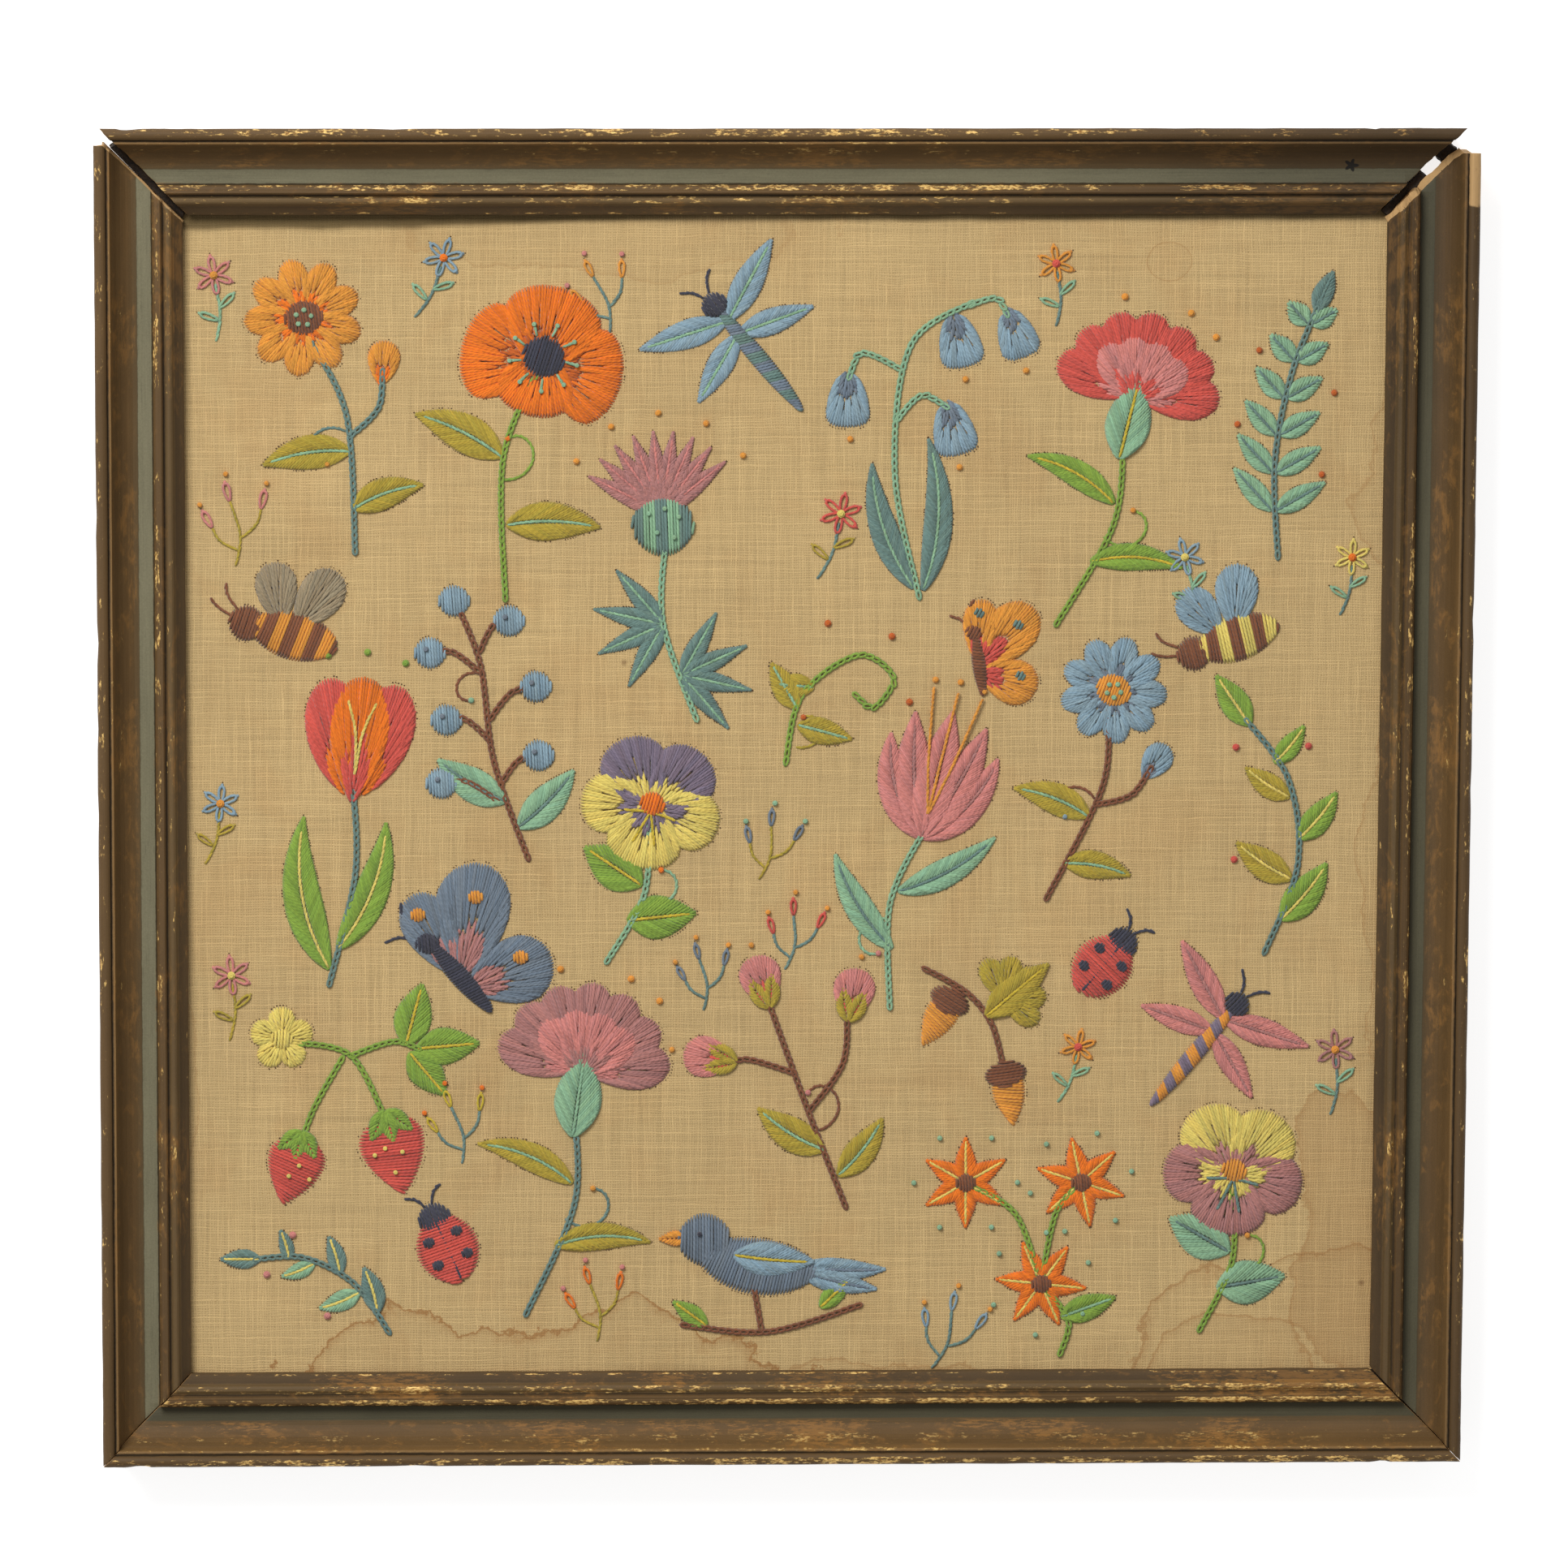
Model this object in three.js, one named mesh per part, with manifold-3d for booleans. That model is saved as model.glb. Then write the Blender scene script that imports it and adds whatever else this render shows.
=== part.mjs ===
// Framed needlework sampler: wool motifs worked on a linen ground, in a mitred moulded wood frame.
// It lies on its back. +Z comes out of the cloth and +Y is the top of the picture. Millimetres.

import * as THREE from 'three';
import { mergeVertices } from 'three/addons/utils/BufferGeometryUtils.js';
import Module from 'manifold-3d';

const wasm = await Module();
wasm.setup();

// Frame, as it was when its four mitres were closed
const FRAME_WIDTH = 453.6;
const FRAME_HEIGHT = 443.9;
const RAIL_FACE = 29.5; // outer edge to sight edge
const REBATE_WALL = 19.5; // outer edge to the wall of the rebate
const LIP_UNDERSIDE = 6.6; // over the back face
const JOINT_GAP = 0.42; // lift of the side rails over the bottom rail, which opens each mitre by 0.3

// Frame, as it has come apart
const TOP_RAIL_LIFT = 2.6;
const TOP_RAIL_SHIFT = -0.3;
const LEFT_RAIL_LEAN = 0.29; // degrees, outwards at the top
const RIGHT_RAIL_LEAN = 0.58;
const LEFT_TIP_LOSS = 3.4; // worn off the point of the mitre
const RIGHT_TIP_LOSS = 6.2;

// Moulding section: distance in from the outer edge, height over the back
const BEAD_CENTRE = [2, 23.8]; // outer bead
const BEAD_RADIUS = 2;
const SIDE_WALL = 2.9; // the outer side stands back under the bead
const SIDE_WALL_TOP = 21.6;
const FILLET_TOP = 23.4;
const FILLET_START = 4.1;
const FILLET_END = 5.3;
const COVE_END = [14.4, 12.1];
const FLAT_END = [18.9, 11.7];
const GOLD_BEAD_CENTRE = [20.7, 14];
const GOLD_BEAD_RADIUS = 1.75;
const STEP_BEAD_CENTRE = [24.4, 12.3];
const STEP_BEAD_RADIUS = 1.6;
const SLOPE_START = [26.4, 12];
const SIGHT_HEIGHT = 9.2;
const SIGHT_ROUND = 0.7;

// Linen ground and the board behind it
const GROUND_WIDTH = 410;
const GROUND_HEIGHT = 400;
const GROUND_THICKNESS = 1;
const GROUND_TOP = 5.75; // mean height of its face at the edges
const GROUND_TILT = 0.45; // it lies deeper at the top left than at the bottom right
const GROUND_SWELL = 0.6; // and stands a little proud in the middle
const GROUND_CELLS = 12;
const BOARD_WIDTH = 412;
const BOARD_HEIGHT = 401;
const BOARD_BACK = 1;
const BOARD_THICKNESS = 3;

// Wool motifs
const CLEARANCE = 0.3; // between the ground and the wool
const STEM_WIDTH = 3;
const STEM_STATIONS = 9;
const STEM_RISE = 0.7;
const BLADE_STATIONS = 6;
const SMOOTHING = 0.04; // how far an outline's points may move where fused blades meet
const WELD = 1e-4;

const WOOD = { color: 0x4a3a26, roughness: 0.55, metalness: 0.15 };
const LINEN = { color: 0xcbb083, roughness: 0.95, metalness: 0 };
const BOARD = { color: 0x6e5a41, roughness: 0.9, metalness: 0 };
const WOOL = {
  coral: 0xd0584e,
  rose: 0xcd827d,
  mauve: 0xb07a75,
  orange: 0xeb7a18,
  gold: 0xde9438,
  yellow: 0xdec868,
  green: 0x84a63e,
  mint: 0x8cb48e,
  teal: 0x68827c,
  slate: 0x74808c,
  blue: 0x88a0ac,
};

// Solids

function solidFrom(geometry) {
  const bare = new THREE.BufferGeometry();
  bare.setAttribute('position', geometry.getAttribute('position'));
  bare.setIndex(geometry.getIndex());
  const welded = mergeVertices(bare, WELD);
  const vertProperties = Float32Array.from(welded.getAttribute('position').array);
  const triVerts = Uint32Array.from(welded.getIndex().array);
  return new wasm.Manifold(new wasm.Mesh({ numProp: 3, vertProperties, triVerts }));
}

function geometryFrom(solid) {
  const { vertProperties, triVerts } = solid.getMesh();
  const geometry = new THREE.BufferGeometry();
  geometry.setAttribute('position', new THREE.BufferAttribute(vertProperties, 3));
  geometry.setIndex(new THREE.BufferAttribute(triVerts, 1));
  geometry.computeVertexNormals();
  return geometry;
}

function prism(outline, height) {
  const shape = new THREE.Shape(outline);
  return new THREE.ExtrudeGeometry(shape, { depth: height, bevelEnabled: false });
}

function moveVertices(geometry, move) {
  const position = geometry.getAttribute('position');
  const point = new THREE.Vector3();
  for (let i = 0; i < position.count; i += 1) {
    point.fromBufferAttribute(position, i);
    move(point);
    position.setXYZ(i, point.x, point.y, point.z);
  }
  geometry.computeVertexNormals();
  return geometry;
}

function piece(name, geometry, finish) {
  const mesh = new THREE.Mesh(geometry, new THREE.MeshStandardMaterial(finish));
  mesh.name = name;
  return mesh;
}

// Moulding

function arc([x, y], radius, from, to, steps) {
  const points = [];
  for (let i = 0; i <= steps; i += 1) {
    const angle = THREE.MathUtils.degToRad(from + (to - from) * i / steps);
    points.push(new THREE.Vector2(x + radius * Math.cos(angle), y + radius * Math.sin(angle)));
  }
  return points;
}

// A quarter of an ellipse, scooped down and in from the fillet to the flat
function cove(steps) {
  const points = [];
  const across = COVE_END[0] - FILLET_END;
  const down = FILLET_TOP - COVE_END[1];
  for (let i = 0; i <= steps; i += 1) {
    const angle = Math.PI / 2 * i / steps;
    const x = COVE_END[0] - across * Math.cos(angle);
    points.push(new THREE.Vector2(x, FILLET_TOP - 0.4 - (down - 0.4) * Math.sin(angle)));
  }
  return points;
}

function mouldingSection() {
  const at = (x, y) => new THREE.Vector2(x, y);
  return [
    at(REBATE_WALL, 0),
    at(REBATE_WALL, LIP_UNDERSIDE),
    at(RAIL_FACE, LIP_UNDERSIDE),
    at(RAIL_FACE, SIGHT_HEIGHT),
    at(RAIL_FACE - SIGHT_ROUND, SIGHT_HEIGHT + SIGHT_ROUND),
    at(...SLOPE_START),
    ...arc(STEP_BEAD_CENTRE, STEP_BEAD_RADIUS, 5, 165, 5),
    ...arc(GOLD_BEAD_CENTRE, GOLD_BEAD_RADIUS, -45, 205, 8),
    at(...FLAT_END),
    ...cove(7).reverse(),
    at(FILLET_END - 0.1, FILLET_TOP),
    at(FILLET_START, FILLET_TOP),
    ...arc(BEAD_CENTRE, BEAD_RADIUS, -20, 220, 12),
    at(SIDE_WALL, SIDE_WALL_TOP),
    at(SIDE_WALL, 0),
  ];
}

// A rail lies along X with its outer edge on Y = 0 and its face inwards, towards -Y. Both ends are mitred.
function mitredRail(length) {
  const section = prism(mouldingSection(), 1);
  return moveVertices(section, (point) => {
    const inward = point.x;
    const end = point.z > 0.5 ? 1 : -1;
    point.set(-end * (length / 2 - inward), -inward, point.y);
  });
}

// The point at the +X end of the rail is worn back
function wornRail(length, loss) {
  const wasted = new THREE.BoxGeometry(2 * loss, 4 * RAIL_FACE, 4 * RAIL_FACE);
  wasted.translate(length / 2, 0, 0);
  return geometryFrom(solidFrom(mitredRail(length)).subtract(solidFrom(wasted)));
}

// Side rails lean about the foot of their outer edge
function sideRail(name, side, loss, lean) {
  const foot = new THREE.Group();
  const rail = piece(name, wornRail(FRAME_HEIGHT, loss), WOOD);
  if (side > 0) rail.geometry = mirrored(rail.geometry);
  rail.rotation.z = Math.PI / 2;
  rail.position.y = FRAME_HEIGHT / 2;
  foot.position.set(side * FRAME_WIDTH / 2, -FRAME_HEIGHT / 2 + JOINT_GAP, 0);
  foot.rotation.z = -side * THREE.MathUtils.degToRad(lean);
  foot.add(rail);
  return foot;
}

// Turns a rail's face to the other side of its outer edge
function mirrored(geometry) {
  const turned = geometry.clone();
  turned.scale(1, -1, 1);
  const index = turned.getIndex().array;
  for (let i = 0; i < index.length; i += 3) [index[i], index[i + 1]] = [index[i + 1], index[i]];
  turned.computeVertexNormals();
  return turned;
}

function frameRails() {
  const top = piece('rail_top', mitredRail(FRAME_WIDTH), WOOD);
  top.position.set(TOP_RAIL_SHIFT, FRAME_HEIGHT / 2 + TOP_RAIL_LIFT, 0);
  const bottom = piece('rail_bottom', mitredRail(FRAME_WIDTH), WOOD);
  bottom.rotation.z = Math.PI;
  bottom.position.y = -FRAME_HEIGHT / 2;
  const left = sideRail('rail_left', -1, LEFT_TIP_LOSS, LEFT_RAIL_LEAN);
  const right = sideRail('rail_right', 1, RIGHT_TIP_LOSS, RIGHT_RAIL_LEAN);
  return [top, bottom, left, right];
}

// Ground and board

function groundRise(x, y) {
  const across = x / GROUND_WIDTH;
  const up = y / GROUND_HEIGHT;
  const swell = GROUND_SWELL * Math.cos(Math.PI * across) * Math.cos(Math.PI * up);
  return GROUND_TOP + GROUND_TILT * (across - up) + swell;
}

function linenSheet() {
  const cells = GROUND_CELLS;
  const sheet = new THREE.BoxGeometry(GROUND_WIDTH, GROUND_HEIGHT, GROUND_THICKNESS, cells, cells, 1);
  sheet.translate(0, 0, -GROUND_THICKNESS / 2);
  return piece('linen', moveVertices(sheet, (point) => { point.z += groundRise(point.x, point.y); }), LINEN);
}

function backingBoard() {
  const board = new THREE.BoxGeometry(BOARD_WIDTH, BOARD_HEIGHT, BOARD_THICKNESS);
  board.translate(0, 0, BOARD_BACK + BOARD_THICKNESS / 2);
  return piece('backing_board', board, BOARD);
}

// Motifs. A blade is a leaf, petal, wing or dot: a curved spine with a width that swells to a belly.
// belly is where it is widest, and base and tip say how it narrows: under 0.6 is round, over 0.8 is pointed.
// rise is how thick the padded stitches lie.
const LEAF = { belly: 0.42, base: 0.8, tip: 0.9, rise: 0.85 };
const PETAL = { belly: 0.66, base: 0.9, tip: 0.45, rise: 1 };
const SPIKE = { belly: 0.35, base: 0.7, tip: 1.1, rise: 0.95 };
const ROUND = { belly: 0.5, base: 0.5, tip: 0.5, rise: 1.25 };
const BELL = { belly: 0.8, base: 0.55, tip: 0.3, rise: 1.05 };
const BERRY = { belly: 0.3, base: 0.45, tip: 0.85, rise: 1.1 };

function blade(form, x, y, turn, length, width, bend = 0) {
  return { form, x, y, turn, length, width, bend };
}

const leaf = (...sizes) => blade(LEAF, ...sizes);
const petal = (...sizes) => blade(PETAL, ...sizes);
const spike = (...sizes) => blade(SPIKE, ...sizes);
const bell = (...sizes) => blade(BELL, ...sizes);
const berry = (...sizes) => blade(BERRY, ...sizes);
const disc = (x, y, radius) => blade(ROUND, x - radius, y, 0, 2 * radius, 2 * radius);
const oval = (...sizes) => blade(ROUND, ...sizes);
const stem = (...points) => ({ points, width: STEM_WIDTH });

function ring(count, x, y, make, length, width, start = 90) {
  return Array.from({ length: count }, (_, i) => make(x, y, start + 360 * i / count, length, width));
}

function fan(count, spread, x, y, make, length, width, middle = 90) {
  const step = spread / (count - 1);
  return Array.from({ length: count }, (_, i) => make(x, y, middle - spread / 2 + step * i, length, width));
}

function daisy() {
  return [
    stem([0, 20], [5, -4], [-2, -42]),
    stem([4, -10], [14, -4], [18, 6]),
    petal(16.5, 2, 70, 13, 9),
    leaf(4, -14, 160, 26, 10, 30),
    leaf(0, -30, 20, 22, 9, -30),
    ...ring(9, 0, 26, petal, 17, 8.5),
    disc(0, 26, 5.5),
  ];
}

function tulip() {
  return [
    stem([0, 8], [3, -16], [-1, -48]),
    leaf(-1, -44, 128, 46, 11, -45),
    leaf(0, -38, 55, 40, 10, 40),
    petal(-2, 6, 116, 34, 15, -30),
    petal(2, 6, 64, 34, 15, 30),
    petal(0, 4, 90, 36, 17),
  ];
}

function carnation() {
  return [
    stem([0, 6], [3, -18], [-6, -50]),
    leaf(2, -12, 145, 30, 8, 40),
    leaf(-1, -30, 30, 28, 8, -40),
    ...fan(7, 156, 0, 20, petal, 25, 13),
    ...fan(4, 84, 0, 19, petal, 19, 11),
    leaf(0, 1, 90, 25, 13),
  ];
}

function poppy() {
  return [
    stem([0, 20], [-4, -8], [6, -46]),
    leaf(-4, -8, 155, 28, 11, 25),
    leaf(1, -26, 25, 27, 11, -25),
    petal(0, 20, 180, 23, 27),
    petal(0, 20, 0, 23, 27),
    petal(0, 17, 90, 25, 27),
    petal(0, 25, 270, 20, 22),
    disc(0, 22, 6),
  ];
}

function bluebells() {
  return [
    stem([-8, -44], [-10, -8], [-1, 26], [18, 36]),
    leaf(-7, -42, 60, 44, 8, 40),
    leaf(-9, -41, 118, 38, 8, -35),
    stem([-8, 6], [0, 12], [7, 8]),
    bell(7, 10, 275, 16, 12),
    stem([-4, 20], [-14, 26], [-19, 20]),
    bell(-19, 22, 262, 16, 12),
    bell(12, 34, 275, 16, 12),
    stem([16, 35], [24, 36], [27, 31]),
    bell(27, 33, 282, 15, 11),
  ];
}

function strawberries() {
  return [
    stem([-16, 30], [0, 26], [10, 8]),
    stem([-2, 26], [-10, 12], [-14, 2]),
    ...fan(3, 80, 10, 10, leaf, 10, 5.5, 285),
    berry(10, 8, 285, 23, 20),
    ...fan(3, 80, -14, 4, leaf, 9, 5, 255),
    berry(-14, 2, 255, 20, 17),
    stem([0, 26], [12, 30], [20, 28]),
    leaf(16, 29, 75, 19, 11),
    leaf(19, 28, 5, 19, 11),
    leaf(17, 27, -50, 17, 10),
    ...ring(5, -20, 31, petal, 9.5, 7.5),
    disc(-20, 31, 3.2),
  ];
}

function thistle() {
  return [
    stem([0, 10], [-3, -14], [4, -44]),
    ...fan(4, 110, -3, -14, spike, 22, 6, 180),
    ...fan(4, 110, 1, -30, spike, 22, 6, 0),
    ...fan(9, 116, 0, 20, spike, 25, 6),
    disc(0, 16, 9.5),
  ];
}

function leafSprig() {
  const along = [[-2, -34], [3, -22], [6, -10], [5, 3], [1, 14]];
  return [
    stem([-8, -44], [5, -18], [5, 8], [-6, 28]),
    ...along.map(([x, y], i) => leaf(x, y, i % 2 ? 150 : 35, 23 - 2 * i, 10.5 - i, i % 2 ? -20 : 20)),
    leaf(-5, 26, 118, 19, 9),
  ];
}

function bud(x, y, turn) {
  return [
    petal(x, y, turn, 16, 12),
    leaf(x, y, turn + 28, 11, 5, -20),
    leaf(x, y, turn - 28, 11, 5, 20),
  ];
}

function rosebuds() {
  return [
    stem([8, -44], [2, -14], [-4, 20]),
    stem([2, -14], [14, -2], [18, 12]),
    stem([0, -2], [-12, 4], [-18, 4]),
    ...bud(-4, 18, 96),
    ...bud(18, 10, 70),
    ...bud(-16, 4, 160),
    leaf(5, -26, 150, 24, 10, -25),
    leaf(7, -34, 30, 22, 9, 25),
  ];
}

function pansy() {
  return [
    stem([0, 6], [3, -14], [-3, -34]),
    leaf(2, -12, 158, 19, 12),
    leaf(0, -22, 18, 19, 12),
    petal(0, 8, 122, 21, 18),
    petal(0, 8, 58, 21, 18),
    petal(0, 9, 186, 19, 16),
    petal(0, 9, -6, 19, 16),
    petal(0, 11, 270, 19, 20),
    disc(0, 10, 3.4),
  ];
}

function berries() {
  const spots = [[-14, 22], [10, 28], [-12, 2], [15, 8], [-16, -16], [13, -12]];
  return [
    stem([6, -42], [0, -12], [0, 16], [-4, 34]),
    ...spots.flatMap(([x, y]) => [stem([0, y - 8], [x * 0.5, y - 1], [x, y]), disc(x, y, 4.6)]),
    disc(-5, 36, 4.6),
    leaf(2, -24, 150, 24, 10, -20),
    leaf(4, -32, 28, 24, 10, 20),
  ];
}

function dragonfly() {
  return [
    leaf(0, 9, 158, 29, 9),
    leaf(0, 9, 22, 29, 9),
    leaf(0, 4, 200, 25, 8),
    leaf(0, 4, -20, 25, 8),
    oval(0, 15, 270, 42, 5.5),
    disc(0, 15.5, 4),
  ];
}

function ladybird() {
  return [
    disc(0, 9, 5),
    oval(0, 10, 270, 22, 19),
  ];
}

function bee() {
  return [
    petal(1, 2, 68, 19, 12),
    petal(-3, 2, 112, 17, 11),
    disc(-12, 0, 4.8),
    oval(-11, 0, 0, 24, 13),
  ];
}

function starFlowers() {
  const heads = [[-17, 18], [17, 12], [0, -16]];
  return [
    stem([-17, 18], [-4, 6], [0, -16]),
    stem([17, 12], [8, 4], [0, -16]),
    stem([0, -16], [6, -28], [2, -38]),
    ...heads.flatMap(([x, y], i) => [...ring(6, x, y, spike, 14, 6.5, 80 + 12 * i), disc(x, y, 3)]),
    leaf(4, -27, 10, 18, 8),
  ];
}

function fern() {
  const pairs = [0, 1, 2, 3, 4, 5];
  return [
    stem([4, -42], [0, -14], [2, 12], [8, 34]),
    ...pairs.flatMap((i) => {
      const x = 0.5 * (i - 1.6) ** 2;
      const y = -28 + 11 * i;
      const reach = 17 - 1.6 * i;
      return [leaf(x - 0.5, y, 138, reach, 6.4), leaf(x + 0.5, y, 36, reach, 6.4)];
    }),
    leaf(7, 31, 72, 13, 6),
  ];
}

function acorns() {
  return [
    stem([-20, 22], [-6, 14], [2, 4], [6, -10]),
    ...[[6, -8, 280], [-9, 15, 240]].flatMap(([x, y, turn]) => [
      leaf(x, y, turn, 21, 11),
      oval(x, y, turn, 8.5, 13.5),
    ]),
    ...fan(5, 150, 6, 12, petal, 14, 8, 40),
    leaf(0, 6, 40, 27, 11),
  ];
}

function butterfly() {
  return [
    petal(0, -2, 64, 32, 20, 18),
    petal(1, -5, 14, 25, 18, -12),
    petal(-1, -1, 104, 25, 14, 12),
    oval(7, -12, 122, 25, 5.5),
    disc(-7, 9, 3.2),
  ];
}

function bird() {
  return [
    stem([-26, -17], [0, -21], [28, -15]),
    leaf(16, -15, 40, 13, 6),
    leaf(-18, -18, 140, 13, 6),
    leaf(10, -2, -12, 27, 7, 12),
    leaf(10, -3, -24, 25, 7, 12),
    stem([-4, 0], [-2, -20]),
    oval(-19, 4, -22, 36, 17, 20),
    disc(-17, 8, 8),
    spike(-23, 9, 178, 8, 4.5),
    leaf(-9, 3, -14, 25, 10.5, 10),
  ];
}

function lily() {
  return [
    stem([0, 4], [-4, -18], [3, -46]),
    leaf(-3, -14, 28, 32, 8, 30),
    leaf(0, -30, 150, 32, 8, -30),
    leaf(0, 2, 142, 32, 10, -45),
    leaf(0, 2, 38, 32, 10, 45),
    leaf(0, 2, 114, 36, 11, -15),
    leaf(0, 2, 66, 36, 11, 15),
    leaf(0, 2, 90, 37, 12),
  ];
}

function tendril() {
  return [
    stem([2, -26], [-4, -6], [4, 12], [16, 12], [16, 2], [9, 2]),
    leaf(-3, -10, 150, 16, 8),
    leaf(-2, -2, 205, 13, 7),
    leaf(-1, -14, 15, 17, 8),
  ];
}

// name, motif, x and y on the ground from its middle, turn in degrees, size, wool
const SAMPLER = [
  ['motif_daisy_gold', daisy, -152, 131, 14, 1.18, 'gold'],
  ['motif_bee_west', bee, -164, 55, -15, 1.25, 'gold'],
  ['motif_tulip_coral', tulip, -144, -6, -6, 1.18, 'coral'],
  ['motif_strawberries', strawberries, -144, -116, 0, 1.15, 'coral'],
  ['motif_poppy_orange', poppy, -86, 122, -14, 1.2, 'orange'],
  ['motif_berries_blue', berries, -98, 26, 8, 1.15, 'blue'],
  ['motif_butterfly_slate', butterfly, -108, -58, 10, 1.25, 'slate'],
  ['motif_ladybird_west', ladybird, -112, -150, 24, 1.1, 'coral'],
  ['motif_carnation_mauve', carnation, -70, -115, -8, 1.2, 'mauve'],
  ['motif_dragonfly_blue', dragonfly, -12, 152, 40, 1.08, 'blue'],
  ['motif_thistle_mauve', thistle, -38, 74, 6, 1.1, 'mauve'],
  ['motif_pansy_yellow', pansy, -46, -14, -12, 1.25, 'yellow'],
  ['motif_rosebuds_pink', rosebuds, 4, -90, 10, 1.15, 'rose'],
  ['motif_bird_slate', bird, -6, -156, 4, 1.12, 'slate'],
  ['motif_bluebells', bluebells, 48, 120, 8, 1.2, 'blue'],
  ['motif_tendril_green', tendril, 14, 38, -30, 1.15, 'green'],
  ['motif_butterfly_gold', butterfly, 66, 46, -24, 0.85, 'gold'],
  ['motif_lily_rose', lily, 46, -16, -14, 1.2, 'rose'],
  ['motif_acorns', acorns, 68, -80, 0, 1.05, 'gold'],
  ['motif_stars_orange', starFlowers, 84, -146, 10, 1.12, 'orange'],
  ['motif_carnation_coral', carnation, 112, 112, -14, 1.15, 'coral'],
  ['motif_daisy_blue', daisy, 103, 9, -16, 1.08, 'blue'],
  ['motif_ladybird_east', ladybird, 108, -56, -40, 1.05, 'coral'],
  ['motif_fern_mint', fern, 166, 128, -6, 1.15, 'mint'],
  ['motif_bee_east', bee, 151, 53, 20, 1.2, 'yellow'],
  ['motif_leaf_sprig', leafSprig, 165, -4, 6, 1.1, 'green'],
  ['motif_dragonfly_rose', dragonfly, 142, -82, -40, 1.05, 'rose'],
  ['motif_pansy_mauve', pansy, 150, -138, -8, 1.25, 'mauve'],
  ['motif_leaf_sprig_teal', leafSprig, -156, -160, 62, 0.72, 'teal'],
];

function placed(mark, x, y, turn, size) {
  const angle = THREE.MathUtils.degToRad(turn);
  const cos = size * Math.cos(angle);
  const sin = size * Math.sin(angle);
  const move = (a, b) => [x + a * cos - b * sin, y + a * sin + b * cos];
  if (mark.points) return { points: mark.points.map(([a, b]) => move(a, b)), width: mark.width };
  const [baseX, baseY] = move(mark.x, mark.y);
  const sizes = { length: size * mark.length, width: size * mark.width };
  return { ...mark, ...sizes, x: baseX, y: baseY, turn: mark.turn + turn };
}

function swell({ belly, base, tip }, t) {
  if (t < belly) return Math.sin(Math.PI / 2 * t / belly) ** base;
  return Math.cos(Math.PI / 2 * (t - belly) / (1 - belly)) ** tip;
}

function spine({ x, y, turn, length, bend }, t) {
  const start = THREE.MathUtils.degToRad(turn);
  const curve = THREE.MathUtils.degToRad(bend || 0.01);
  const radius = length / curve;
  const heading = start + curve * t;
  const along = radius * (Math.sin(heading) - Math.sin(start));
  const up = radius * (Math.cos(start) - Math.cos(heading));
  return { x: x + along, y: y + up, heading };
}

function bladeOutline(mark) {
  const left = [];
  const right = [];
  for (let i = 1; i < BLADE_STATIONS; i += 1) {
    const t = (1 - Math.cos(Math.PI * i / BLADE_STATIONS)) / 2;
    const { x, y, heading } = spine(mark, t);
    const half = mark.width / 2 * swell(mark.form, t);
    left.push(new THREE.Vector2(x - half * Math.sin(heading), y + half * Math.cos(heading)));
    right.push(new THREE.Vector2(x + half * Math.sin(heading), y - half * Math.cos(heading)));
  }
  const base = spine(mark, 0);
  const tip = spine(mark, 1);
  return [new THREE.Vector2(base.x, base.y), ...right, new THREE.Vector2(tip.x, tip.y), ...left.reverse()];
}

function stemOutline({ points, width }) {
  const curve = new THREE.SplineCurve(points.map(([x, y]) => new THREE.Vector2(x, y)));
  const left = [];
  const right = [];
  for (let i = 0; i <= STEM_STATIONS; i += 1) {
    const point = curve.getPoint(i / STEM_STATIONS);
    const { x, y } = curve.getTangent(i / STEM_STATIONS).multiplyScalar(width / 2);
    left.push(new THREE.Vector2(point.x - y, point.y + x));
    right.push(new THREE.Vector2(point.x + y, point.y - x));
  }
  return [...right, ...left.reverse()];
}

function markSolid(mark) {
  if (mark.points) return solidFrom(prism(stemOutline(mark), STEM_RISE));
  return solidFrom(prism(bladeOutline(mark), mark.form.rise));
}

function motifPad([name, draw, x, y, turn, size, wool]) {
  const solids = draw().map((mark) => markSolid(placed(mark, x, y, turn, size)));
  const fused = solids.reduce((whole, solid) => whole.add(solid));
  const pad = geometryFrom(fused.asOriginal().simplify(SMOOTHING));
  moveVertices(pad, (point) => { point.z += groundRise(point.x, point.y) + CLEARANCE; });
  return piece(name, pad, { color: WOOL[wool], roughness: 0.8, metalness: 0 });
}

// The whole sampler, its origin in the middle of its back
const sampler = new THREE.Group();
sampler.add(...frameRails(), linenSheet(), backingBoard(), ...SAMPLER.map(motifPad));
sampler.updateMatrixWorld(true);
const middle = new THREE.Box3().setFromObject(sampler, true).getCenter(new THREE.Vector3());
sampler.position.set(-middle.x, -middle.y, 0);

const model = new THREE.Group();
model.add(sampler);

export default model;
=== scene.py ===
"""Framed needlework sampler: worn gilt moulding, linen ground and wool motifs worked thread by thread.

It lies on its back. +Z comes out of the cloth and +Y is the top of the picture. Lengths are in metres,
unless a name ends in _MM or a comment says millimetres.
"""

import math
import random
from collections import namedtuple

import bmesh
import bpy
import numpy as np
from bpy.props import FloatProperty, FloatVectorProperty, PointerProperty
from mathutils import Matrix, Vector, noise


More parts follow.
